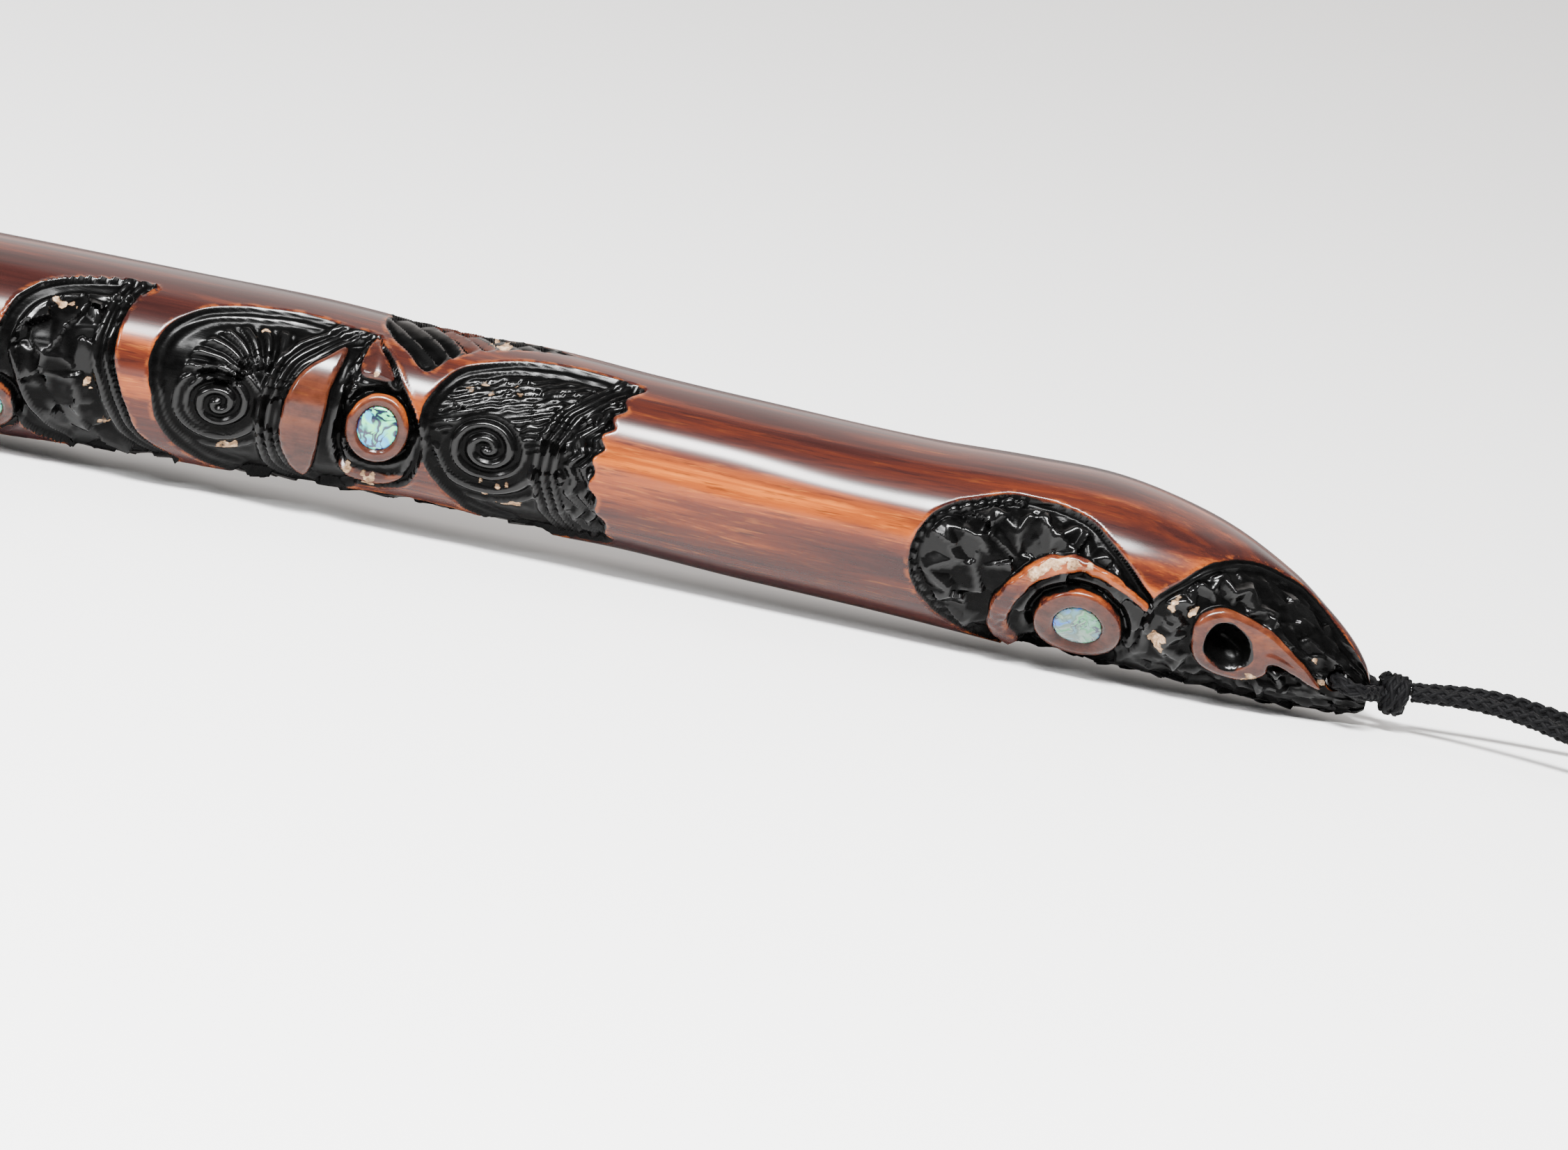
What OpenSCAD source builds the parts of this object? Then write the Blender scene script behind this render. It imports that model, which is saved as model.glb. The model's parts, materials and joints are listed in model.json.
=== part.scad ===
// Carved side-blown wooden flute with shell inlays and a cord loop.
// +X runs from the open end to the snout, +Z is up, and the origin is on the
// ground under the middle of the body. The body is two hollowed halves, glued
// along the upright plane y = 0. All sizes are in millimetres and degrees.

/* [Body] */
// Length of the body from the open end to the tip of the snout
body_len = 436; // [360:1:560]
// Height of the body at its plain stretch
body_h = 32; // [28:0.5:42]
// Width of the body divided by its height
width_share = 1.12; // [1.08:0.01:1.3]

/* [Bore] */
// Diameter of the bore
bore_d = 16; // [12:0.5:20]
// Distance from the tip of the snout to the middle of the blow hole
blow_from_tip = 108; // [102:1:118]
// Diameter of the blow hole
blow_d = 10.5; // [8:0.1:13]
// Distance from the middle of the blow hole to the closed end of the bore
bore_past_blow = 14; // [10:0.5:18]

/* [Finger holes] */
// Number of finger holes
finger_count = 5; // [3:1:5]
// Diameter of a finger hole
finger_d = 8; // [6:0.1:10]
// Distance from the open end to the first finger hole
finger_first = 38; // [30:1:46]
// Distance between two finger holes
finger_pitch = 22; // [18:0.5:24]
// How far the row of holes is turned from the top to the player's side
row_turn = 40; // [30:1:50]

/* [Inlays] */
// Diameter of the shell disc in the head's eye
head_shell_d = 9; // [7:0.1:11]
// Length round the body of the oval shells on the two bands
band_shell_d = 8.6; // [7:0.1:10.5]
// Width of an oval shell divided by its length
band_shell_share = 0.84; // [0.7:0.01:1]
// Thickness of the shell discs
shell_t = 1.6; // [1.2:0.1:2.4]
// Gap between a shell and its seat all round
shell_play = 0.05; // [0.02:0.01:0.15]
// Width of the wooden ring round each shell
ring_w = 3; // [2:0.1:3.6]
// Width of the groove round that ring
groove_w = 1.4; // [0.8:0.1:2]
// Depth of that groove
groove_depth = 1.2; // [0.6:0.1:1.6]
// Diameter of the nostril pit
nostril_d = 8; // [6:0.1:10]
// Depth of the nostril pit below the skin
nostril_depth = 4; // [2:0.5:6]

/* [Cord] */
// Diameter of the cord
cord_d = 3.3; // [2.6:0.1:4]
// Gap between the cord and its hole all round
cord_play = 0.35; // [0.2:0.05:0.8]
// Distance from the tip of the snout to the cord hole
cord_hole_from_tip = 6.5; // [6.5:0.5:9]

/* [Hidden] */

wood = "#5a2a1a";
shell = "#7fc4b4";
cord_black = "#151414";

tip_x = body_len / 2;
open_x = -body_len / 2;
// The station tables are drawn for a plain stretch of this height.
drawn_h = 32;
girth = body_h / drawn_h;

// Each station: distance from its own datum, half height, height of the centre
// above the bore, and extra half width beyond width_share.
head_stations = [ // back from the tip
    [0, 2.8, -14.2, -1.5], [1.2, 4.7, -13.4, -2], [5, 7.6, -11.8, -1.7],
    [11, 10.2, -9.5, -1.2], [17, 12.3, -7.4, -0.9], [29, 15.1, -4.3, -0.6],
    [41, 16.6, -2.3, -0.4], [53, 17.3, -1.2, 0], [68, 16.9, -0.9, 0], [86, 16.2, -0.8, 0]];
middle_stations = [ // forward of the middle
    [105, 16, -0.2, 0], [81, 15.8, 0.6, 0], [63, 16.3, 0.9, 0], [45, 15.9, 1, 0],
    [21, 16.8, 1, 0], [-3, 17.3, 0.4, 0], [-39, 17.8, -0.4, 0], [-80, 17.4, -0.8, 0]];
tail_stations = [ // forward of the open end
    [95, 16.4, -0.6, 0], [50, 15.3, -0.2, 0], [16, 14.7, 0, 0], [3, 14.5, 0, 0], [0, 13.9, 0, 0]];
stations = concat(
    [for (s = head_stations) [tip_x - s[0], s[1], s[2], s[3]]],
    [for (s = middle_stations) [s[0], s[1], s[2], s[3]]],
    [for (s = tail_stations) [open_x + s[0], s[1], s[2], s[3]]]);
last_station = len(stations) - 1;

// The stretch between stations that holds x, counted from the tip.
function stretch(x, i = 0) =
    i >= last_station - 1 || x >= stations[i + 1][0] ? i : stretch(x, i + 1);

// Slope of column c at station i, kept flat at the two ends.
function slope(i, c) =
    let (a = stations[max(i - 1, 0)], b = stations[min(i + 1, last_station)])
    (b[c] - a[c]) / (b[0] - a[0]);

// Smooth curve through column c of the stations.
function along(x, c) =
    let (i = stretch(x), a = stations[i], b = stations[i + 1], run = b[0] - a[0],
        t = (x - a[0]) / run, t2 = t * t, t3 = t2 * t)
    (2 * t3 - 3 * t2 + 1) * a[c] + (t3 - 2 * t2 + t) * run * slope(i, c)
    + (3 * t2 - 2 * t3) * b[c] + (t3 - t2) * run * slope(i + 1, c);

function half_height(x) = girth * along(x, 1);
function half_width(x) = width_share * half_height(x) + girth * along(x, 3);

// Rings are close together at the snout and the rim, and further apart between.
ring_step = 8;
snout_len = 42;
plain_end = tip_x - snout_len;
rim_end = open_x + 16;
ring_count = ceil((plain_end - rim_end) / ring_step);
ring_xs = concat(
    [open_x, open_x + 1, open_x + 3, open_x + 8],
    [for (i = [0:ring_count]) rim_end + (plain_end - rim_end) * i / ring_count],
    [for (s = [38, 34, 30, 26, 22, 18, 14.5, 11.5, 8.5, 6, 4, 2.4, 1.2, 0.4, 0]) tip_x - s]);
ring_last = len(ring_xs) - 1;

// The bore lies so high that the lowest ring rests on the ground.
bore_z = -min([for (x = ring_xs) girth * along(x, 2) - half_height(x)]);
function centre_z(x) = bore_z + girth * along(x, 2);

// A point on the skin: turn is 0 at the right side and 90 at the top.
function skin(x, turn) =
    [x, -half_width(x) * cos(turn), centre_z(x) + half_height(x) * sin(turn)];
function unit(v) = v / norm(v);
function skin_normal(x, turn) =
    let (dx = skin(x + 0.5, turn) - skin(x - 0.5, turn),
        dt = skin(x, turn + 1) - skin(x, turn - 1))
    unit(cross(dx, dt));

// Puts children on the skin with their +Z along its outward normal.
// side is -1 for the right side and 1 for the left.
module on_skin(x, turn, side) {
    n = skin_normal(x, turn);
    p = skin(x, turn);
    mirror([0, side < 0 ? 0 : 1, 0])
        translate(p)
            rotate([0, acos(n[2]), atan2(n[1], n[0])])
                children();
}

// Closed half of the body, before it is hollowed. side as in on_skin.
half_sides = 16;
module half_blank(side) {
    ring = half_sides + 1;
    points = [for (x = ring_xs) for (j = [0:half_sides])
        let (p = skin(x, -90 + 180 * j / half_sides)) [p[0], -side * p[1], p[2]]];
    skin_faces = [for (i = [0:ring_last - 1]) for (j = [0:half_sides - 1])
        let (a = i * ring + j, b = a + 1, c = a + ring, d = c + 1)
        each [[a, b, c], [b, d, c]]];
    flat_faces = [for (i = [0:ring_last - 1])
        let (a = i * ring, b = a + half_sides, c = a + ring, d = c + half_sides)
        each [[a, c, b], [b, c, d]]];
    open_face = [[for (j = [half_sides:-1:0]) j]];
    tip_face = [[for (j = [0:half_sides]) ring_last * ring + j]];
    faces = concat(skin_faces, flat_faces, open_face, tip_face);
    polyhedron(points, side < 0 ? faces : [for (f = faces) [for (i = [len(f) - 1:-1:0]) f[i]]]);
}

// The bore and the holes of the row.
cut_over = 1;
blow_x = tip_x - blow_from_tip;
bore_end = blow_x + bore_past_blow;
module bore() {
    translate([open_x - cut_over, 0, bore_z])
        rotate([0, 90, 0])
            cylinder(d = bore_d, h = bore_end - open_x + cut_over, $fn = 96);
}
finger_xs = [for (i = [0:finger_count - 1]) open_x + finger_first + i * finger_pitch];
module tone_hole(x, d) {
    translate([x, 0, bore_z])
        rotate([-row_turn, 0, 0])
            cylinder(d = d, h = body_h, $fn = 64);
}

// Where each eye sits: distance from its datum, and turn round the body.
head_eye = [tip_x - 54.2, -29];
shoulder_eye = [35.6, -3];
hip_eye = [-34, -36];
nostril = [tip_x - 27.4, -11];

// An eye is a flat ring of wood with a shell let into it and a groove outside.
// The flat lies below the skin's crown by the rise of the body across the ring.
function flat_depth(d) = pow(d / 2, 2) / body_h * 0.9;
module oval(d, share) {
    scale([share, 1, 1]) circle(d = d, $fn = 64);
}
module eye_cut(eye, d, share, side) {
    ring_d = d + 2 * ring_w;
    flat = flat_depth(ring_d);
    on_skin(eye[0], eye[1], side) {
        translate([0, 0, -flat])
            cylinder(d = ring_d, h = flat + cut_over, $fn = 64);
        translate([0, 0, -flat - groove_depth])
            difference() {
                cylinder(d = ring_d + 2 * groove_w, h = flat + groove_depth + cut_over, $fn = 64);
                translate([0, 0, -cut_over])
                    cylinder(d = ring_d, h = flat + groove_depth + 3 * cut_over, $fn = 64);
            }
        translate([0, 0, -flat - shell_t])
            linear_extrude(shell_t + flat)
                rotate(90) oval(d, share);
    }
}
module eye_shell(eye, d, share, side) {
    color(shell)
        on_skin(eye[0], eye[1], side)
            translate([0, 0, -flat_depth(d + 2 * ring_w) - shell_t])
                linear_extrude(shell_t)
                    rotate(90) oval(d - 2 * shell_play, share);
}
module nostril_cut(side) {
    on_skin(nostril[0], nostril[1], side)
        translate([0, 0, -nostril_depth])
            cylinder(d = nostril_d, h = nostril_depth + 3 * cut_over, $fn = 64);
}

// The cord hole runs from side to side through the snout, with eased mouths.
cord_x = tip_x - cord_hole_from_tip;
cord_z = centre_z(cord_x);
hole_d = cord_d + 2 * cord_play;
mouth_y = half_width(cord_x);
module cord_hole() {
    translate([cord_x, 0, cord_z])
        rotate([90, 0, 0]) {
            cylinder(d = hole_d, h = 4 * mouth_y, center = true, $fn = 48);
            for (flip = [0, 180])
                rotate([flip, 0, 0])
                    translate([0, 0, mouth_y - cord_d * 0.75])
                        cylinder(d1 = hole_d, d2 = hole_d + 3 * cord_d, h = 1.5 * cord_d, $fn = 48);
        }
}

// One half of the body, hollowed and drilled.
module body_half(side) {
    color(wood)
        difference() {
            half_blank(side);
            bore();
            if (side > 0) {
                tone_hole(blow_x, blow_d);
                for (x = finger_xs)
                    tone_hole(x, finger_d);
            }
            eye_cut(head_eye, head_shell_d, 1, side);
            eye_cut(shoulder_eye, band_shell_d, band_shell_share, side);
            eye_cut(hip_eye, band_shell_d, band_shell_share, side);
            nostril_cut(side);
            cord_hole();
        }
}
module body_half_right() { body_half(-1); }
module body_half_left() { body_half(1); }

module head_eye_right() { eye_shell(head_eye, head_shell_d, 1, -1); }
module head_eye_left() { eye_shell(head_eye, head_shell_d, 1, 1); }
module shoulder_eye_right() { eye_shell(shoulder_eye, band_shell_d, band_shell_share, -1); }
module shoulder_eye_left() { eye_shell(shoulder_eye, band_shell_d, band_shell_share, 1); }
module hip_eye_right() { eye_shell(hip_eye, band_shell_d, band_shell_share, -1); }
module hip_eye_left() { eye_shell(hip_eye, band_shell_d, band_shell_share, 1); }

// A round tube swept along points. Each ring stands square to the path, and
// up is a direction that the path never takes.
module tube(path, d, sides, up) {
    last = len(path) - 1;
    function heading(i) = unit(path[min(i + 1, last)] - path[max(i - 1, 0)]);
    points = [for (i = [0:last]) for (j = [0:sides - 1])
        let (t = heading(i), u = unit(cross(up, t)), v = cross(t, u), a = 360 * j / sides)
        path[i] + d / 2 * (cos(a) * u + sin(a) * v)];
    walls = [for (i = [0:last - 1]) for (j = [0:sides - 1])
        let (a = i * sides + j, b = i * sides + (j + 1) % sides)
        each [[a, a + sides, b], [b, a + sides, b + sides]]];
    ends = [[for (j = [0:sides - 1]) j], [for (j = [sides - 1:-1:0]) last * sides + j]];
    polyhedron(points, concat(walls, ends));
}

// Smooth line through points, with the given number of steps between two.
function bend(a, b, c, d, t) =
    0.5 * (2 * b + (c - a) * t + (2 * a - 5 * b + 4 * c - d) * t * t
        + (3 * b - a - 3 * c + d) * t * t * t);
function smooth(p, steps) =
    let (n = len(p) - 1)
    concat([for (i = [0:n - 1]) for (k = [0:steps - 1])
        bend(p[max(i - 1, 0)], p[i], p[i + 1], p[min(i + 2, n)], k / steps)], [p[n]]);

// The bight passes through the hole and comes round both sides of the snout.
cord_sides = 8;
knot_len = 2 * cord_d;
knot_d = 2.5 * cord_d;
knot_gap = 1.2;
knot_x = tip_x + knot_gap + knot_len / 2;
knot_z = cord_z - 1.6 * girth;
strand_gap = 0.06;
bight_gap = 0.35;
strand_y = cord_d / 2 + strand_gap;
module cord_bight() {
    clear = cord_d / 2 + bight_gap;
    knot_back = knot_x - knot_len / 2;
    // The cord's height drops from the hole to the knot, so a share of the way
    // along x gives the height as well.
    function drop(x) = cord_z + (knot_z - cord_z) * (x - cord_x) / (knot_back - cord_x);
    function beside(x, out) = [x, half_width(x) + out, drop(x)];
    half_path = [[cord_x, 0, cord_z], [cord_x, mouth_y * 0.5, cord_z],
        [cord_x, mouth_y * 0.95, cord_z],
        beside(cord_x + 0.4 * cord_d, clear), beside(cord_x + 1.15 * cord_d, clear * 1.35),
        beside(tip_x - 0.3 * cord_d, clear * 1.5), beside(tip_x, clear * 1.4),
        [knot_back - 0.12 * cord_d, strand_y + 0.3 * cord_d, knot_z],
        [knot_back, strand_y + 0.27 * cord_d, knot_z]];
    whole = concat([for (i = [len(half_path) - 1:-1:1]) [half_path[i][0], -half_path[i][1], half_path[i][2]]],
        half_path);
    color(cord_black)
        tube(smooth(whole, 2), cord_d, cord_sides, [0, 0, 1]);
}

// The knot in front of the snout, as a barrel with rounded shoulders.
module cord_knot() {
    shoulder = knot_len / 4;
    color(cord_black)
        translate([knot_x, 0, knot_z])
            rotate([0, 90, 0])
                rotate_extrude($fn = 48)
                    polygon([[0, -knot_len / 2], [knot_d * 0.3, -knot_len / 2],
                        for (a = [-60:30:60]) [knot_d / 2 - shoulder * (1 - cos(a)), knot_len * 0.48 * sin(a)],
                        [knot_d * 0.3, knot_len / 2], [0, knot_len / 2]]);
}

// The free loop: out of the knot, down to the ground, round and back.
// Each point: distance past the front of the knot, distance from the middle
// plane, and height of the cord's middle. The loop comes back mirrored.
loop_points = [[0, 1.75, 8], [1.2, 1.75, 8.05], [4, 2, 8.4], [9, 2.8, 8.9], [15, 3.9, 9], [21, 5.1, 8.5],
    [28, 6.6, 7.3], [36, 8.6, 5.5], [44, 10.8, 3.7], [52, 13, 2.4], [62, 15.6, 1.7],
    [74, 17.7, 1.7], [86, 17.9, 1.7], [97, 15.6, 1.7], [106, 10.9, 1.7], [111, 5.4, 1.7],
    [112.4, 0, 1.7]];
module cord_loop() {
    front = knot_x + knot_len / 2;
    lying = cord_d / 2 + 0.05;
    lift = lying - loop_points[len(loop_points) - 1][2];
    half_path = [for (p = loop_points) [front + p[0], p[1], max(lying, p[2] + lift)]];
    whole = concat([for (p = half_path) [p[0], -p[1], p[2]]],
        [for (i = [len(half_path) - 2:-1:0]) half_path[i]]);
    color(cord_black)
        tube(smooth(whole, 2), cord_d, cord_sides, [0, 0, 1]);
}

body_half_right();
body_half_left();
head_eye_right();
head_eye_left();
shoulder_eye_right();
shoulder_eye_left();
hip_eye_right();
hip_eye_left();
cord_bight();
cord_knot();
cord_loop();
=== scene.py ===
# %% [markdown]
# # A carved wooden flute
# This lesson builds a dark, varnished, side-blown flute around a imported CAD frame. The frame says
# where everything is; this script gives each piece its real shape and finish. The body is two glued
# halves whose skin is carved in black-stained crescents, spirals and facets, with shell eyes and a
# braided cord through the snout.

# %% Load the frame
import json
import math

import bpy
import numpy as np
from mathutils import Matrix, Vector


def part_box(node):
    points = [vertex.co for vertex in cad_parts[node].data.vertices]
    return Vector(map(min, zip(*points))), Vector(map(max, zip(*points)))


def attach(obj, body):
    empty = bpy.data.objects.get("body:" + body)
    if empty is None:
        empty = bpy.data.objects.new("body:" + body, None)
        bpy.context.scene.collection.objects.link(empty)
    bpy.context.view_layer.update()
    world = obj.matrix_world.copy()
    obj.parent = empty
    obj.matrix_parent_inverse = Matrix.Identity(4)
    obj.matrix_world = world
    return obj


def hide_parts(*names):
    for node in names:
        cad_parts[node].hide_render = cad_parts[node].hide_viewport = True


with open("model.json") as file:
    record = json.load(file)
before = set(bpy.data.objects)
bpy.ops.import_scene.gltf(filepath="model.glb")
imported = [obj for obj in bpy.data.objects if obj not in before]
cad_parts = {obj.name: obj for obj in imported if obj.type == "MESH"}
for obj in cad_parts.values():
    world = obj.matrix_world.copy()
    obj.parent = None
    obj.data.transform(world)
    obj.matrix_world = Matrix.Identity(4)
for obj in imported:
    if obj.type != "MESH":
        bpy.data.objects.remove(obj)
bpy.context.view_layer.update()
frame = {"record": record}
MM = 0.001

# %% [markdown]
# ## Sizes that everything shares
# Design sizes are in millimetres, as a carver would say them, and are turned into metres only when
# a mesh is made. The ends of the body and the bore's height are read from the frame, so the looks
# can't drift away from the CAD.

# %% Sizes from the frame
def node_box(name):
    """Lowest and highest corner of a CAD node, in millimetres."""
    low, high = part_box(name)
    return np.array(low) / MM, np.array(high) / MM


BODY_LOW, BODY_HIGH = node_box("body_half_right")
OPEN_X, TIP_X = BODY_LOW[0], BODY_HIGH[0]
BORE = next(m for m in frame["record"]["mounts"] if m["name"] == "open_end")
BORE_Z = BORE["pos_m"][2] / MM
BORE_R = BORE["dims"]["r_mm"]
BORE_END = OPEN_X + BORE["dims"]["length_mm"]
CORD_D = 3.3
print("body from", OPEN_X, "to", TIP_X, "mm, bore", BORE_R, "mm in radius, up to", BORE_END)

# %% [markdown]
# ## Camera
# The camera looks at the carved side from a little above, and is rolled so that the flute runs
# downhill to the right. A long lens keeps the sides parallel, as in a catalogue. The open end
# runs out of the frame on the left, and the cord on the right.

# %% Camera
ELEVATION = math.radians(12)
ROLL = math.radians(11.8)
CAMERA_BACK = 1200
# How much of the flute's length fits across the view, in mm.
SEEN_W = 281.5
SENSOR_W = 36
# A point just in front of the snout, and where it stands from the view's middle, in mm.
AIM = Vector((222.8, 0, 5.3))
AIM_RIGHT, AIM_UP = 109.25, -23


def make_camera():
    back = Vector((0, -math.cos(ELEVATION), math.sin(ELEVATION)))
    right, up = Vector((1, 0, 0)), Vector((0, math.sin(ELEVATION), math.cos(ELEVATION)))
    right, up = (right * math.cos(ROLL) + up * math.sin(ROLL),
                 up * math.cos(ROLL) - right * math.sin(ROLL))
    place = AIM - right * AIM_RIGHT - up * AIM_UP + back * CAMERA_BACK
    data = bpy.data.cameras.new("camera")
    data.sensor_width = SENSOR_W
    data.lens = SENSOR_W * CAMERA_BACK / SEEN_W
    data.clip_start, data.clip_end = 0.01, 50
    camera = bpy.data.objects.new("camera", data)
    turn = Matrix((right, up, back)).transposed().to_4x4()
    camera.matrix_world = Matrix.Translation(place * MM) @ turn
    bpy.context.scene.collection.objects.link(camera)
    bpy.context.scene.camera = camera
    print("camera at", [round(v, 3) for v in camera.matrix_world.translation])


make_camera()

# %% [markdown]
# ## Small tools for meshes and curves
# Every piece ends as a plain mesh at the origin, so one helper makes a mesh from arrays. A smooth
# line through given points is a Catmull-Rom curve, the same one that the CAD uses.

# %% Mesh and curve helpers
def link(obj):
    bpy.context.scene.collection.objects.link(obj)
    return obj


def make_mesh(name, points, faces, smooth=True):
    """A mesh object from points in millimetres."""
    mesh = bpy.data.meshes.new(name)
    mesh.from_pydata((np.asarray(points) * MM).tolist(), [], faces)
    mesh.update()
    if smooth:
        mesh.shade_smooth()
    else:
        mesh.shade_flat()
    return link(bpy.data.objects.new(name, mesh))


def smooth_line(points, steps, closed=False):
    """Catmull-Rom curve through the points, with so many steps between two."""
    p = np.array(points, float)
    n = len(p)
    out = []
    for i in range(n if closed else n - 1):
        near = [(i + k) % n if closed else min(max(i + k, 0), n - 1) for k in (-1, 0, 1, 2)]
        a, b, c, d = p[near]
        for k in range(steps):
            t = k / steps
            out.append(0.5 * (2 * b + (c - a) * t + (2 * a - 5 * b + 4 * c - d) * t * t
                              + (3 * b - a - 3 * c + d) * t ** 3))
    if not closed:
        out.append(p[-1])
    return np.array(out)


def apply_modifiers(obj, material=None):
    """Turns an object with modifiers into a plain mesh."""
    graph = bpy.context.evaluated_depsgraph_get()
    graph.update()
    mesh = bpy.data.meshes.new_from_object(obj.evaluated_get(graph), depsgraph=graph)
    name, old = obj.name, obj.data
    bpy.data.objects.remove(obj)
    if isinstance(old, bpy.types.Curve):
        bpy.data.curves.remove(old)
    plain = link(bpy.data.objects.new(name, mesh))
    if material:
        mesh.materials.clear()
        mesh.materials.append(material)
    mesh.shade_smooth()
    return plain


# %% [markdown]
# ## Node graphs
# Materials and the braid are graphs of nodes. A small class keeps them short: it adds a node and
# fills its sockets, and does sums on sockets. A second class on top of it holds what a material
# needs: colour mixes, ramps, coordinates, numbers stored on the mesh, and bumps.

# %% Node graphs
class Graph:
    """A node tree. A socket or a plain value may go into any input."""

    def __init__(self, tree):
        self.tree = tree

    def put(self, socket, value):
        if isinstance(value, bpy.types.NodeSocket):
            self.tree.links.new(value, socket)
        else:
            socket.default_value = value

    def node(self, kind, values=(), **settings):
        """Adds a node; values fill its inputs by name or number."""
        made = self.tree.nodes.new(kind)
        for key, value in settings.items():
            setattr(made, key, value)
        for key, value in dict(values).items():
            self.put(made.inputs[key], value)
        return made

    def math(self, operation, a, b=0.0):
        return self.node("ShaderNodeMath", {0: a, 1: b}, operation=operation).outputs[0]

    def times(self, a, b):
        return self.math("MULTIPLY", a, b)

    def plus(self, a, b):
        return self.math("ADD", a, b)

    def about(self, value, middle, size):
        """How far a value is from its middle, times a size."""
        return self.times(self.math("SUBTRACT", value, middle), size)

    def vector(self, operation, a, b):
        second = "Scale" if operation == "SCALE" else 1
        return self.node("ShaderNodeVectorMath", {0: a, second: b}, operation=operation).outputs[0]

    def step(self, value, low, high):
        """0 below low, 1 above high, and smooth between."""
        return self.node("ShaderNodeMapRange", {0: value, 1: low, 2: high},
                         interpolation_type="SMOOTHSTEP").outputs[0]

    def noise(self, place, scale=1.0, detail=4.0, rough=0.55, distortion=0.0):
        return self.node("ShaderNodeTexNoise", {"Vector": place, "Scale": scale, "Detail": detail,
                                                "Roughness": rough,
                                                "Distortion": distortion}).outputs[0]


# %% Material graphs
class Finish(Graph):
    """The graph of a material, with one glossy shader at its end."""

    def __init__(self, name):
        self.material = bpy.data.materials.new(name)
        self.material.use_nodes = True
        super().__init__(self.material.node_tree)
        self.tree.nodes.clear()
        self.shader = self.tree.nodes.new("ShaderNodeBsdfPrincipled")
        out = self.tree.nodes.new("ShaderNodeOutputMaterial")
        self.tree.links.new(self.shader.outputs[0], out.inputs[0])

    def give(self, **values):
        """Fills the shader's sockets; Base_Color stands for Base Color."""
        for key, value in values.items():
            self.put(self.shader.inputs[key.replace("_", " ")], value)

    def mix(self, share, a, b):
        return self.node("ShaderNodeMix", {0: share, 6: a, 7: b}, data_type="RGBA").outputs[2]

    def tint(self, base, mask, share, colour):
        """Lays a colour over the base, as strong as the mask times the share."""
        return self.mix(self.times(mask, share), base, (*colour, 1))

    def mix_number(self, share, a, b):
        return self.node("ShaderNodeMix", {0: share, 2: a, 3: b}).outputs[0]

    def ramp(self, share, stops):
        made = self.node("ShaderNodeValToRGB", {0: share})
        elements = made.color_ramp.elements
        while len(elements) < len(stops):
            elements.new(0.5)
        for element, (place, colour) in zip(elements, stops):
            element.position = place
            element.color = (*colour, 1)
        return made.outputs[0]

    def place(self, x=1.0, y=1.0, z=1.0):
        """Object coordinates in millimetres, stretched by three scales."""
        coordinates = self.node("ShaderNodeTexCoord").outputs["Object"]
        scale = (x / MM, y / MM, z / MM)
        return self.node("ShaderNodeMapping", {0: coordinates, 3: scale}).outputs[0]

    def stored(self, name):
        return self.node("ShaderNodeAttribute", attribute_name=name).outputs["Fac"]

    def bumps(self, height, strength, distance):
        made = self.node("ShaderNodeBump", {"Strength": strength, "Distance": distance,
                                            "Height": height})
        self.give(Normal=made.outputs[0])


# %% [markdown]
# ## Cord material
# Waxed black braid is nearly black with a faint cool sheen where the fibres lie side by side. The
# braid itself is geometry, so the material adds only the fine fibres, as a fine noise in the
# colour, the gloss and the height of a bump.

# %% Cord material
def make_cord_material():
    g = Finish("black_braid")
    fibres = g.noise(g.place(), 6.0, 3.0, 0.7)
    colour = g.ramp(fibres, [(0.3, (0.0006, 0.0006, 0.0007)), (0.75, (0.003, 0.003, 0.0036))])
    g.give(Base_Color=colour, Roughness=g.step(fibres, 1.4, -0.2), Specular_IOR_Level=0.08,
           Sheen_Weight=0.012, Sheen_Roughness=0.4)
    g.bumps(fibres, 0.5, 0.00012)
    return g.material


BLACK_BRAID = make_cord_material()

# %% [markdown]
# ## The braid, as a Geometry Nodes tree
# A round braid is two sets of strands that wind round the cord in opposite ways and pass over and
# under each other. Each strand is the cord's own line, pushed out along its normal by an angle that
# grows with length. Geometry Nodes does this for any line, so the loop, the turn through the snout
# and the knot all use one tree with named sizes.

# %% Braid strands
BRAID_STRANDS = 4
BRAID_PITCH = 11.0
BRAID_STEP = 0.7
# Shares of the cord's radius: a strand's own radius, its place, and how far it weaves in and out.
STRAND_R, STRAND_PLACE, WEAVE = 0.27, 0.6, 0.12


def wound_strands(g, given, line, profile, middle_r, weave, way):
    """The strands that wind one way round the line, as swept tubes."""
    copies = g.node("GeometryNodeDuplicateElements", {"Geometry": line, "Amount": given["Strands"]},
                    domain="SPLINE").outputs
    length = g.node("GeometryNodeSplineParameter").outputs["Length"]
    turned = g.times(g.math("DIVIDE", length, given["Pitch"]), 2 * math.pi)
    start = g.times(g.math("DIVIDE", copies["Duplicate Index"], given["Strands"]), 2 * math.pi)
    angle = g.plus(g.times(turned, way), start)
    over = g.math("COSINE", g.times(turned, given["Strands"]))
    reach = g.plus(middle_r, g.times(g.times(over, way), weave))
    normal = g.node("GeometryNodeInputNormal").outputs[0]
    tangent = g.node("GeometryNodeInputTangent").outputs[0]
    across = g.vector("CROSS_PRODUCT", tangent, normal)
    parts = [g.vector("SCALE", direction, g.times(g.math(wave, angle), reach))
             for direction, wave in ((normal, "COSINE"), (across, "SINE"))]
    offset = g.vector("ADD", *parts)
    moved = g.node("GeometryNodeSetPosition", {"Geometry": copies[0], "Offset": offset}).outputs[0]
    return g.node("GeometryNodeCurveToMesh", {"Curve": moved, "Profile Curve": profile,
                                              "Fill Caps": True}).outputs[0]


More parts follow.
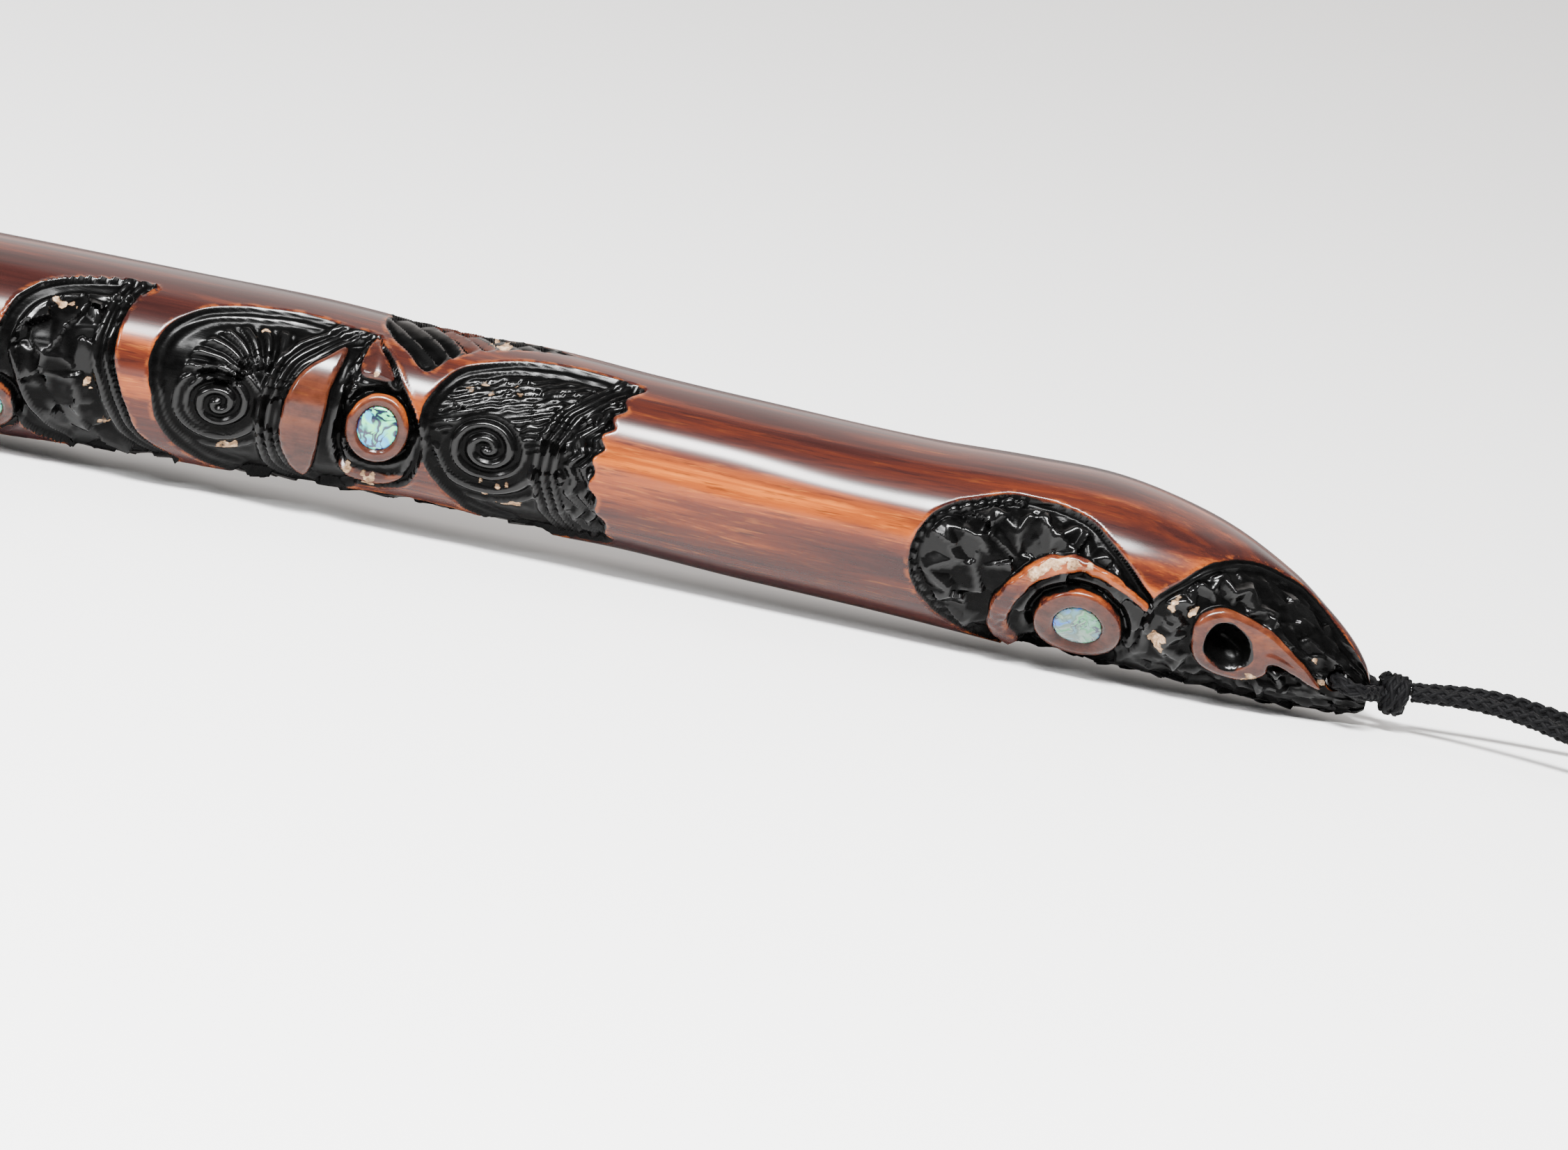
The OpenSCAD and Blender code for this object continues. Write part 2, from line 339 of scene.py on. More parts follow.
# %% [markdown]
# The tree takes a line and gives back the whole braid: both sets of strands, and a plain core that
# closes the gaps between them.

# %% Braid tree
def braid_tree(material):
    tree = bpy.data.node_groups.new("round_braid", "GeometryNodeTree")
    sockets = [("Geometry", "Geometry")] + [(name, "Float") for name in ("Radius", "Pitch", "Step")]
    for name, kind in sockets + [("Strands", "Int")]:
        tree.interface.new_socket(name, in_out="INPUT", socket_type="NodeSocket" + kind)
    tree.interface.new_socket("Geometry", in_out="OUTPUT", socket_type="NodeSocketGeometry")
    g = Graph(tree)
    given = g.node("NodeGroupInput").outputs
    line = g.node("GeometryNodeResampleCurve", {"Curve": given["Geometry"], "Length": given["Step"]},
                  mode="LENGTH").outputs[0]
    strand_r, middle_r, weave = [g.times(given["Radius"], share)
                                 for share in (STRAND_R, STRAND_PLACE, WEAVE)]
    profile, core_profile = [g.node("GeometryNodeCurvePrimitiveCircle", {"Resolution": sides,
                                    "Radius": radius}).outputs[0]
                             for sides, radius in ((7, strand_r), (8, middle_r))]
    joined = g.node("GeometryNodeJoinGeometry")
    for way in (1, -1):
        strands = wound_strands(g, given, line, profile, middle_r, weave, way)
        tree.links.new(strands, joined.inputs[0])
    core = g.node("GeometryNodeCurveToMesh", {"Curve": line, "Profile Curve": core_profile,
                                              "Fill Caps": True}).outputs[0]
    tree.links.new(core, joined.inputs[0])
    solid = g.node("GeometryNodeRealizeInstances", {0: joined.outputs[0]}).outputs[0]
    done = g.node("GeometryNodeSetMaterial", {"Geometry": solid, "Material": material}).outputs[0]
    tree.links.new(done, g.node("NodeGroupOutput").inputs[0])
    return tree


BRAID = braid_tree(BLACK_BRAID)

# %% [markdown]
# One function lays the braid along any path.

# %% Braid along a path
def braid(name, path, diameter=CORD_D):
    """A braided cord along a path in millimetres."""
    curve = bpy.data.curves.new(name, "CURVE")
    curve.dimensions = "3D"
    points = curve.splines.new("POLY").points
    points.add(len(path) - 1)
    for point, place in zip(points, path):
        point.co = (*(np.array(place) * MM), 1)
    obj = link(bpy.data.objects.new(name, curve))
    modifier = obj.modifiers.new("braid", "NODES")
    modifier.node_group = BRAID
    sizes = {"Radius": diameter / 2 * MM, "Pitch": BRAID_PITCH * MM, "Step": BRAID_STEP * MM,
             "Strands": BRAID_STRANDS}
    for item in BRAID.interface.items_tree:
        if item.in_out == "INPUT" and item.name in sizes:
            modifier[item.identifier] = sizes[item.name]
    made = apply_modifiers(obj, BLACK_BRAID)
    print(name, "has", len(made.data.polygons), "faces")
    return made


# %% [markdown]
# ## The free loop
# The cord leaves the knot as two strands, rises a little with its own springiness, and lies down on
# the ground where it closes in a loop just outside the view. Its points are the CAD's own, as
# distance past the knot, distance from the middle plane and height.

# %% Free loop
KNOT_LOW, KNOT_HIGH = node_box("cord_knot")
KNOT_FRONT = KNOT_HIGH[0]
LYING = CORD_D / 2 + 0.05
LOOP_POINTS = [(0, 1.75, 8), (1.2, 1.75, 8.05), (4, 2, 8.4), (9, 2.8, 8.9), (15, 3.9, 9),
               (21, 5.1, 8.5), (28, 6.6, 7.3), (36, 8.6, 5.5), (44, 10.8, 3.7), (52, 13, 2.4),
               (62, 15.6, 1.7), (74, 17.7, 1.7), (86, 17.9, 1.7), (97, 15.6, 1.7), (106, 10.9, 1.7),
               (111, 5.4, 1.7), (112.4, 0, 1.7)]


def make_loop():
    half = [(KNOT_FRONT + x, y, max(LYING, z)) for x, y, z in LOOP_POINTS]
    path = smooth_line([(x, -y, z) for x, y, z in half] + half[-2::-1], 6)
    loop = braid("cord_loop_braid", path)
    length = np.linalg.norm(np.diff(path, axis=0), axis=1).sum()
    print("the loop is", round(length, 1), "mm long")
    return loop, path, length


LOOP, LOOP_PATH, LOOP_LENGTH = make_loop()

# %% [markdown]
# ## The turn through the snout, and the knot
# The cord passes through a hole from side to side, hugs both sides of the snout and enters the
# knot. The knot is an overhand knot pulled tight, so only two fat turns of the same braid show, laid
# side by side.

# %% Bight and knot
BIGHT_HIGH = node_box("cord_bight")[1]
HOLE_BACK = 6.5
HOLE_X = TIP_X - HOLE_BACK
KNOT_MIDDLE = (KNOT_LOW + KNOT_HIGH) / 2
KNOT_R = (KNOT_HIGH[1] - KNOT_LOW[1]) / 2


def make_bight():
    reach = BIGHT_HIGH[1] - CORD_D / 2
    high = BIGHT_HIGH[2] - CORD_D / 2
    back = KNOT_LOW[0]
    half = [(HOLE_X, 0, high), (HOLE_X, reach * 0.55, high), (HOLE_X + 0.6, reach * 0.86, high),
            (HOLE_X + 2.2, reach, high - 0.3), (HOLE_X + 4.4, reach * 0.93, high - 0.8),
            (TIP_X - 0.6, 0.68 * reach, high - 1.2), (back, 2.7, KNOT_MIDDLE[2]),
            (back + 1.2, 2, KNOT_MIDDLE[2])]
    path = smooth_line([(x, -y, z) for x, y, z in half[:0:-1]] + half, 5)
    return braid("cord_bight_braid", path)


def make_knot():
    """Two turns round the knot's own axis."""
    turns, steps = 2, 24
    turn_r = KNOT_R - CORD_D / 2
    start, room = KNOT_LOW[0] + CORD_D / 2, KNOT_HIGH[0] - KNOT_LOW[0] - CORD_D
    path = []
    for k in range(turns * steps + 1):
        a = 2 * math.pi * k / steps
        path.append((start + room * k / (turns * steps), KNOT_MIDDLE[1] + turn_r * math.sin(a),
                     KNOT_MIDDLE[2] + turn_r * math.cos(a)))
    return braid("cord_knot_braid", path)


BIGHT = make_bight()
KNOT = make_knot()

# %% [markdown]
# ## The uncarved skin
# Before any carving, the flute is a smooth oval tube with a slow wave along it and a head that
# droops into a snout. The stations are the CAD's own: distance from an end, half height, height of
# the centre above the bore, and extra half width.

# %% Stations
HEAD = [(0, 2.8, -14.2, -1.5), (1.2, 4.7, -13.4, -2), (5, 7.6, -11.8, -1.7), (11, 10.2, -9.5, -1.2),
        (17, 12.3, -7.4, -0.9), (29, 15.1, -4.3, -0.6), (41, 16.6, -2.3, -0.4), (53, 17.3, -1.2, 0),
        (68, 16.9, -0.9, 0), (86, 16.2, -0.8, 0)]
MIDDLE = [(105, 16, -0.2, 0), (81, 15.8, 0.6, 0), (63, 16.3, 0.9, 0), (45, 15.9, 1, 0),
          (21, 16.8, 1, 0), (-3, 17.3, 0.4, 0), (-39, 17.8, -0.4, 0), (-80, 17.4, -0.8, 0)]
TAIL = [(95, 16.4, -0.6, 0), (50, 15.3, -0.2, 0), (16, 14.7, 0, 0), (3, 14.5, 0, 0),
        (0, 13.9, 0, 0)]
STATIONS = np.array([(OPEN_X + s[0], *s[1:]) for s in TAIL[::-1]] + MIDDLE[::-1]
                    + [(TIP_X - s[0], *s[1:]) for s in HEAD[::-1]], float)
SLOPES = np.array([(STATIONS[min(i + 1, len(STATIONS) - 1)] - STATIONS[max(i - 1, 0)])
                   for i in range(len(STATIONS))])
SLOPES = SLOPES / SLOPES[:, :1]


def along(x, column):
    """Smooth curve through one column of the stations."""
    i = np.clip(np.searchsorted(STATIONS[:, 0], x, side="right") - 1, 0, len(STATIONS) - 2)
    a, b = STATIONS[i], STATIONS[i + 1]
    run = b[..., 0] - a[..., 0]
    t = np.clip((x - a[..., 0]) / run, 0, 1)
    return ((2 * t ** 3 - 3 * t ** 2 + 1) * a[..., column]
            + (t ** 3 - 2 * t ** 2 + t) * run * SLOPES[i, column]
            + (3 * t ** 2 - 2 * t ** 3) * b[..., column]
            + (t ** 3 - t ** 2) * run * SLOPES[i + 1, column])


# %% [markdown]
# A place on the skin is given by x and by the turn round the body, 0 at the side and 90 at the top.

# %% Skin
# Share of the oval's width to its height.
WIDTH_SHARE = 1.12


def half_height(x):
    return along(x, 1)


def half_width(x):
    return WIDTH_SHARE * half_height(x) + along(x, 3)


def skin(x, turn, lift=0.0):
    """Points on the right side, lift millimetres above the smooth skin."""
    x, turn = np.broadcast_arrays(np.asarray(x, float), np.radians(np.asarray(turn, float)))

    def plain(x, a):
        return np.stack([x, -half_width(x) * np.cos(a),
                         BORE_Z + along(x, 2) + half_height(x) * np.sin(a)], axis=-1)

    step, small_turn, end_gap = 0.5, 0.02, 0.6
    inner = np.clip(x, OPEN_X + end_gap, TIP_X - end_gap)
    along_x = plain(inner + step, turn) - plain(inner - step, turn)
    round_it = plain(inner, turn + small_turn) - plain(inner, turn - small_turn)
    normal = np.cross(along_x, round_it)
    normal /= np.linalg.norm(normal, axis=-1, keepdims=True)
    return plain(x, turn) + normal * np.asarray(lift)[..., None]


print("skin from", skin(OPEN_X, 0).round(2), "to", skin(TIP_X, 0).round(2))

# %% [markdown]
# ## Carving, as a height over the skin
# A carver draws crescents on the finished tube, cuts them down by about a millimetre, and then works
# ridges, spirals and facets into the sunk ground. The same is done here on a fine grid of points
# over the skin: each cut lowers or raises the height of the points. Five more numbers ride along for
# the finish: how far inside the black stain a point is, how bare the wood is, how dusky its glaze
# is (less on the eye rings' upper edges, as a painted highlight), how much it is rubbed, and its
# turn round the body, which the finish uses for painted light and shade. Every cut is made of three
# soft shapes.

# %% Soft shapes
def ease(t):
    t = np.clip(t, 0, 1)
    return t * t * (3 - 2 * t)


def roof(d, at, width):
    """1 on the line at that distance, falling straight to 0 on both sides."""
    return np.clip(1 - np.abs(d - at) / (width / 2), 0, 1)


def bump(d, at, width):
    return ease(roof(d, at, width))


# %% [markdown]
# Cuts follow lines and outlines drawn on the unrolled skin. For every point of the grid, these two
# functions tell how far it is from a line, and how far inside an outline.

# %% Lines and outlines
FAR_OUTSIDE = -9.0


def to_line(u, v, line, closed=False):
    """Distance to a line, its side as +1 or -1, and how far along it the nearest point is."""
    near = np.full(u.shape, 1e9)
    side, run = np.ones(u.shape), np.zeros(u.shape)
    start = 0.0
    for a, b in zip(line if closed else line[:-1], np.roll(line, -1, 0) if closed else line[1:]):
        e = b - a
        size = max(e @ e, 1e-9)
        t = np.clip(((u - a[0]) * e[0] + (v - a[1]) * e[1]) / size, 0, 1)
        du, dv = u - a[0] - t * e[0], v - a[1] - t * e[1]
        gap = du * du + dv * dv
        better = gap < near
        near = np.where(better, gap, near)
        run = np.where(better, start + t * math.sqrt(size), run)
        side = np.where(better, np.sign(e[0] * dv - e[1] * du), side)
        start += math.sqrt(size)
    return np.sqrt(near), side, run


def inside(u, v, line, margin=6):
    """How far inside a closed line a point is; negative outside."""
    far = np.full(u.shape, FAR_OUTSIDE)
    low, high = line.min(0) - margin, line.max(0) + margin
    part = (u > low[0]) & (u < high[0]) & (v > low[1]) & (v < high[1])
    p, q = u[part], v[part]
    odd = np.zeros(p.shape, bool)
    for a, b in zip(line, np.roll(line, -1, 0)):
        if a[1] != b[1]:
            hit = a[0] + (q - a[1]) / (b[1] - a[1]) * (b[0] - a[0])
            odd ^= ((a[1] > q) != (b[1] > q)) & (p < hit)
    far[part] = np.maximum(to_line(p, q, line, True)[0] * np.where(odd, 1, -1), FAR_OUTSIDE)
    return far


# %% [markdown]
# A hand never cuts a perfect line. A smooth noise lets the outlines wander, ripples the ground and
# breaks the edges of chips.

# %% Noise
def value_noise(u, v, pitch, seed):
    """Smooth noise from -1 to 1, with a new value every pitch millimetres."""
    rows, columns = 256, 128
    grid = np.random.default_rng(seed).uniform(-1, 1, (rows, columns))
    a, b = u / pitch + 90, v / pitch + 40
    i, j = np.floor(a).astype(int), np.floor(b).astype(int)
    s, t = ease(a - i), ease(b - j)

    def at(m, n):
        return grid[m % rows, n % columns]

    return ((at(i, j) * (1 - s) + at(i + 1, j) * s) * (1 - t)
            + (at(i, j + 1) * (1 - s) + at(i + 1, j + 1) * s) * t)


# %% [markdown]
# A zone is a stretch of skin laid flat. It turns design points, given as a place along the body and
# degrees of turn, into millimetres, and measures the grid against them. Its noise bends the grid a
# little, so every line that is measured afterwards wanders.

# %% Zones
# The design's own zero along the body, from the frame's.
LAYOUT_X = 2.8
# Millimetres of skin to a degree of turn, on the band, the brow and the snout.
BAND_ROUND, BROW_ROUND, SNOUT_ROUND = 0.3, 0.28, 0.25


class Zone:
    """A stretch of skin being carved, with u along the body and v round it, both in mm."""

    def __init__(self, field, per_degree, mirror=None):
        self.field, self.per_degree = field, per_degree
        self.u = field.x - LAYOUT_X
        if mirror is not None:
            self.u = 2 * mirror - self.u
        self.v = field.turn * per_degree
        wander = [0.28 * self.noise(5.0, seed) + 0.06 * self.noise(1.7, seed + 2) for seed in (3, 4)]
        self.u, self.v = self.u + wander[0], self.v + wander[1]

    def noise(self, pitch, seed):
        return value_noise(self.u, self.v, pitch, seed)

    def line(self, points, steps=6, closed=False):
        return smooth_line([(x, turn * self.per_degree) for x, turn in points], steps, closed)

    def within(self, points, steps=6):
        return inside(self.u, self.v, self.line(points, steps, True))

    def beside(self, points):
        """Signed distance from a line, and the run along it."""
        near, side, run = to_line(self.u, self.v, self.line(points))
        return near * side, run

    def off(self, points):
        return np.abs(self.beside(points)[0])

    def polar(self, centre):
        du, dv = self.u - centre[0], self.v - centre[1] * self.per_degree
        return np.hypot(du, dv), np.arctan2(dv, du)


# %% [markdown]
# The chisel makes the cuts. It sinks the ground, leaves islands, breaks chips away, and works
# spirals, fans, rows of teeth and flat faces into the ground.

# %% Chisel
class Chisel(Zone):
    def sink(self, d, depth, wall=0.8):
        """Cuts the ground down inside a line and stains it."""
        self.field.height -= depth * ease(d / wall)
        self.field.ink = np.maximum(self.field.ink, d - 0.1)

    def island(self, d, top, wall=0.9, dusk=0.0):
        """Leaves a raised, unstained shape standing in the ground."""
        share = ease(d / wall + 0.5)
        self.field.height = self.field.height * (1 - share) + top * share
        self.field.ink = np.where(d > -0.7, np.minimum(self.field.ink, -d), self.field.ink)
        self.field.dusk = np.maximum(self.field.dusk * (d < 0), dusk * (d > -0.3))

    def add(self, share, high):
        self.field.height += share * high

    def chip(self, place, size, amount=1.0, stretch=1.0, lean=0.0):
        """A place where a flake has broken away and bare wood shows."""
        r, angle = self.polar(place)
        a = angle - math.radians(lean)
        r = np.hypot(r * np.cos(a) / stretch, r * np.sin(a))
        broken = self.noise(0.9, 11)
        share = ease(1.25 - r / size + 0.6 * broken)
        self.field.scuff = np.maximum(self.field.scuff, share * amount)
        self.field.height -= 0.18 * share * (0.6 + broken)

    def chips(self, *rows):
        for row in rows:
            self.chip(*row)

    def spiral(self, centre, reach, pitch, high, start):
        r, angle = self.polar(centre)
        wave = np.cos(2 * math.pi * (r / pitch - angle / (2 * math.pi) + start))
        self.add(ease((reach - r) / 0.9) * wave, high)

    def fan(self, centre, reach, angles, count, high):
        """Ridges that spread from a centre, between two radii and two angles in degrees."""
        r, angle = self.polar(centre)
        turn = (np.degrees(angle) - angles[0]) / (angles[1] - angles[0])
        share = ease((r - reach[0]) / 0.8) * ease((reach[1] - r) / 0.8)
        share = share * ease(turn * 12) * ease((1 - turn) * 12)
        bend = -0.12 * (r - reach[0])
        self.add(share * np.cos(2 * math.pi * (turn * count + bend)), high)

    def teeth(self, t, run, width, pitch, high, fall, share):
        """A zigzag crest with flat faces falling away on both sides."""
        zigzag = width * (np.abs((run / pitch) % 1 - 0.5) * 4 - 1) / 2
        self.add(share * np.clip(1 - np.abs(t - zigzag) / fall, 0, 1), high)

    def facets(self, share, pitch, slope, step, seed):
        """Flat chisel faces, each with its own tilt and depth; about one in four is rubbed."""
        rng = np.random.default_rng(seed)
        here = share > 0
        u, v = self.u[here], self.v[here]
        if not u.size:
            return
        spots = np.array([(a + rng.uniform(0, pitch), b + rng.uniform(0, pitch))
                          for a in np.arange(u.min() - pitch, u.max() + pitch, pitch)
                          for b in np.arange(v.min() - pitch, v.max() + pitch, pitch)])
        tilt = rng.uniform(-slope, slope, (len(spots), 2))
        level = rng.uniform(-step, step, len(spots))
        rubbed = np.where(rng.uniform(0, 1, len(spots)) > 0.74, 0.6, 0.0)
        gap = (u[:, None] - spots[:, 0]) ** 2 + (v[:, None] - spots[:, 1]) ** 2
        first = gap.argmin(1)
        du, dv = u - spots[first, 0], v - spots[first, 1]
        face = level[first] + (du * tilt[first, 0] + dv * tilt[first, 1])
        self.field.height[here] += share[here] * face
        self.field.crest[here] = np.maximum(self.field.crest[here], rubbed[first] * share[here])


# %% [markdown]
# ## Eyes
# Each eye is a shell disc in a flat seat. Round it stand a raised brown ring and a black groove. The
# seat, the ring and the groove follow the disc's outline, so one size serves for all of them. The
# ring is glazed dusky, with a painted highlight along its upper edge.

# %% Eye sizes and cut
# Place along the body, turn, width and height of each disc, and the width of its ring.
EYES = {"head_eye": (163.8, -29, 9.0, 9.0), "shoulder_eye": (35.6, -3, 7.2, 8.6),
        "hip_eye": (-34.0, -36, 7.2, 8.6)}
RING_W = {"head_eye": 3.6, "shoulder_eye": 2.3, "hip_eye": 2.4}
GROOVE_W, GROOVE_DEPTH, SEAT_DEPTH = 1.4, 1.3, 1.2


def one_degree(x, turn):
    """Millimetres of skin to one degree of turn at a place."""
    return float(np.linalg.norm(skin(x, turn + 0.5) - skin(x, turn - 0.5)))


def past_disc(x, turn, eye):
    """Millimetres past the edge of an eye's disc; negative over the disc."""
    cx, ct, wide, high = EYES[eye]
    du, dv = x - cx, (turn - ct) * one_degree(cx, ct)
    return (np.hypot(du / (wide / 2), dv / (high / 2)) - 1) * (wide + high) / 4


def cut_eye(field, eye):
    past = past_disc(field.x, field.turn, eye)
    ring_w = RING_W[eye]
    near = past < ring_w + GROOVE_W + 0.8
    worn = value_noise(field.x, field.turn * BAND_ROUND, 2.2, 21)
    ring = ease((ring_w - past) / 0.5 + 0.5)
    field.height = np.where(near, field.height * (1 - ring) - 0.12 * ring, field.height)
    field.height -= GROOVE_DEPTH * bump(past, ring_w + GROOVE_W / 2, GROOVE_W + 1.0)
    field.height += 0.3 * bump(past, ring_w * 0.5, ring_w)
    field.height -= SEAT_DEPTH * ease(0.5 - past / 0.45)
    stained = ring_w - 0.1 - past + 0.25 * worn
    field.ink = np.where(past < ring_w + GROOVE_W, np.maximum(-stained, FAR_OUTSIDE), field.ink)
    # Painted highlight: the ring's upper outer edge keeps less glaze, so it shows lighter.
    upper = ease((field.turn - EYES[eye][1]) / 12) * ease((past - ring_w + 1.1) / 0.5)
    field.dusk = np.where(past < ring_w, 0.9 - 0.8 * upper, field.dusk)


# %% [markdown]
# ## The middle band
# The band round the middle has pairs of crescents that face each other across an eye. The outlines
# are in millimetres along the body and degrees round it. The first crescent has a smooth hollow rim,
# and a ground of a few wide chisel faces.

# %% Hip crescents
def hip_crescent(zone, seed):
    left = [(-24, -62), (-31, -40), (-35.6, -8), (-36.7, 8), (-35, 30), (-31, 47), (-23, 59),
            (-11, 62.5)]
    right = [(-11.6, 62), (-14, 44), (-15, 14), (-12.7, -8), (-8, -37), (-1, -59)]
    d = zone.within([(-36.7, 8), (-35, 30), (-31, 47), (-23, 59), (-16, 63), (-10.8, 62.5),
                     (-13, 50), (-14.6, 36), (-15, 14), (-12.7, -8), (-8, -37), (-1, -59), (-7, -68),
                     (-16, -69), (-24, -59), (-31, -40), (-35.6, -8)])
    from_left, from_right = zone.off(left), zone.off(right)
    zone.sink(d, 1.5)
    ground = ease(d / 0.8) * ease((from_left - 3.4) / 0.6) * ease((from_right - 4.0) / 0.6)
    zone.facets(ground, 5.6, 0.36, 0.4, seed)
    here = d > 0
    zone.add(here * bump(from_left, 3.5, 1.6), 0.9)
    zone.add(here * ease((2.9 - from_left) / 2.2), 0.55)
    zone.add(here * roof(from_right, 1.5, 1.7), 0.95)
    zone.add(here * roof(from_right, 3.5, 1.8), 0.85)
    across, run = zone.beside([(-33, -50), (-31, -15), (-26, 10), (-21, 30), (-17, 58)])
    zone.teeth(across, run, 4.5, 8.0, 0.7, 3.2, ground)
    zone.chips(((-26, 39), 1.1, 1.0, 2.6, -12), ((-19, -8), 1.3, 0.8), ((-15, -35), 1.3, 0.8))


# %% [markdown]
# ## The shoulder
# Left of the shoulder eye is a crescent with a spiral, a fan of fine ridges above it, and nested
# ridges that sweep up into a horn. A polished brown crescent stands beside the eye.

# %% Left shoulder crescent
BROWN_LEFT = [(29, 58), (24, 46), (19, 30), (16.6, 14), (15.8, -8), (17.5, -37), (21, -52),
              (25, -66)]
# The same edge again, as places along the body for given heights round it. Past it nothing nests.
BROWN_V, BROWN_U = [-20, -11, -2, 4, 9, 14, 18], [25, 18, 15.8, 16.6, 19, 24, 29]


def left_crescent(zone):
    d = zone.within([(-9, 11), (-8, 30), (-4, 47), (2, 57), (9, 62.5), (16.6, 64.5), (24, 62),
                     (29.4, 60), (27.4, 42), (26.6, 11), (27, -10), (28.5, -30), (31, -48), (27, -64),
                     (19, -72), (11, -68), (4, -57), (-4, -34), (-7.6, -8)])
    zone.sink(d, 1.6)
    here = ease(d / 0.8)
    from_left = zone.off([(8, -62), (4, -56), (-4, -34), (-7.6, -8), (-9, 11), (-8, 30), (-4, 47),
                          (2, 57), (9, 62.5), (17, 64.5), (29, 60)])
    zone.add(here * ease((2.5 - from_left) / 0.9) * (1 - 0.25 * bump(from_left, 1.4, 1.6)), 0.8)
    nested = zone.off(BROWN_LEFT) + (zone.u > np.interp(zone.v, BROWN_V, BROWN_U)) * 20
    low = ease((from_left - 2.6) / 0.5) * ease((nested - 5.0) / 0.4) * ease(d / 0.8)
    zone.add(low, -0.2)
    centre = (4.3, -7)
    r = zone.polar(centre)[0]
    zone.fan((10.5, 7), (2.6, 13.5), (58, 196), 9, 0.55)
    zone.add(ease((6.9 - r) / 0.5) * low, -0.2)
    zone.spiral(centre, 6.6, 2.6, 0.5, 0.2)
    zone.add(low * bump(r, 7.6, 1.8), 0.7)
    zone.add(low * bump(r, 10.0, 1.8) * ease((-2 - zone.v) / 2), 0.6)
    for place, high in ((0.8, 1.0), (2.5, 0.9), (4.2, 1.0)):
        zone.add(here * roof(nested, place, 1.7), high)
    zone.chips(((7, -39), 1.1, 0.95, 2.4, 8), ((10, 49), 0.8, 0.7))
    brown = [(24.6, 46), (21.6, 38), (19, 30), (16.6, 14), (15.8, -8), (17.5, -37), (21.5, -50),
             (22.6, -30), (22.9, -8), (23.2, 16), (24.4, 34)]
    zone.island(zone.within(brown), 0.1, 0.9, 0.8)


# %% [markdown]
# The diamond with the shoulder eye stands between two black grooves. Its upper end is a small roof
# of bare brown wood with a sharp ridge.

# %% Diamond
def diamond(zone):
    d = zone.within([(29.4, 61), (30.9, 54), (33, 46), (35.4, 33), (37.6, 20), (40.8, -2),
                     (41.3, -21), (39.6, -40), (36, -47), (32.8, -49), (27.5, -46), (25.4, -22),
                     (24.9, -4), (25.2, 16), (26.6, 38)], 4)
    zone.sink(d, 1.2)
    zone.add(roof(d, 0.2, 1.3), 0.35)
    zone.add(ease(d / 0.6) * roof(d, 2.2, 1.6), 0.55)
    top = [(29.4, 59), (30.8, 50), (32.6, 42), (34, 31), (31.5, 29), (28.4, 30), (28, 42)]
    peak = zone.within(top, 4)
    crest = np.abs(zone.u - 30.4 - (60 - zone.v / zone.per_degree) * 0.02)
    zone.island(peak, -0.35, 0.5, 0.3)
    zone.add(ease(peak / 0.4) * roof(crest, 0, 5.0), 0.95)
    zone.chip((31.0, 31.5), 0.7, 0.8)
    rows = ease(d / 0.6) * bump(zone.v, 22 * zone.per_degree, 5.0)
    zone.add(rows * np.cos(zone.v * 2 * math.pi / 1.5), 0.22)
    foot = [(27, -34), (28.5, -43), (32.5, -46), (36, -44), (38.6, -34), (35, -37), (31, -37)]
    zone.island(zone.within(foot), -0.1, 0.6, 0.6)
    zone.chips(((32.5, -42), 1.7, 0.9), ((28.4, -37), 1.1, 0.8))


# %% [markdown]
# Right of the eye the crescent is finer. It has close silvery hatching, a spiral with a broad smooth
# lip under it, and ridges that turn from smooth to zigzag towards a ragged edge.

# %% Right shoulder crescent
RIGHT_UPPER = [(40, 17), (42, 36), (46, 52), (53, 63), (60, 68), (67.6, 71), (73, 70)]
RIGHT_RAGGED = [(77.6, 66), (75.2, 54), (75.6, 44), (73.4, 38), (74.0, 30), (71.9, 24), (72.9, 16),
                (71.2, 8), (72.2, 0), (71.4, -10), (73.2, -18), (73.2, -28), (75.6, -38), (75.6, -48),
                (77.4, -56)]
RIGHT_LOWER = [(76, -64), (72, -68), (62, -71), (51.5, -59), (48, -47), (43, -27), (40, -5)]
# The course of the ridges by the ragged edge: places along the body for given heights round it.
RAGGED_V, RAGGED_U = [-20, -12, -3, 4, 10, 16, 21], [71, 66.5, 64.0, 64.5, 67, 72, 77]


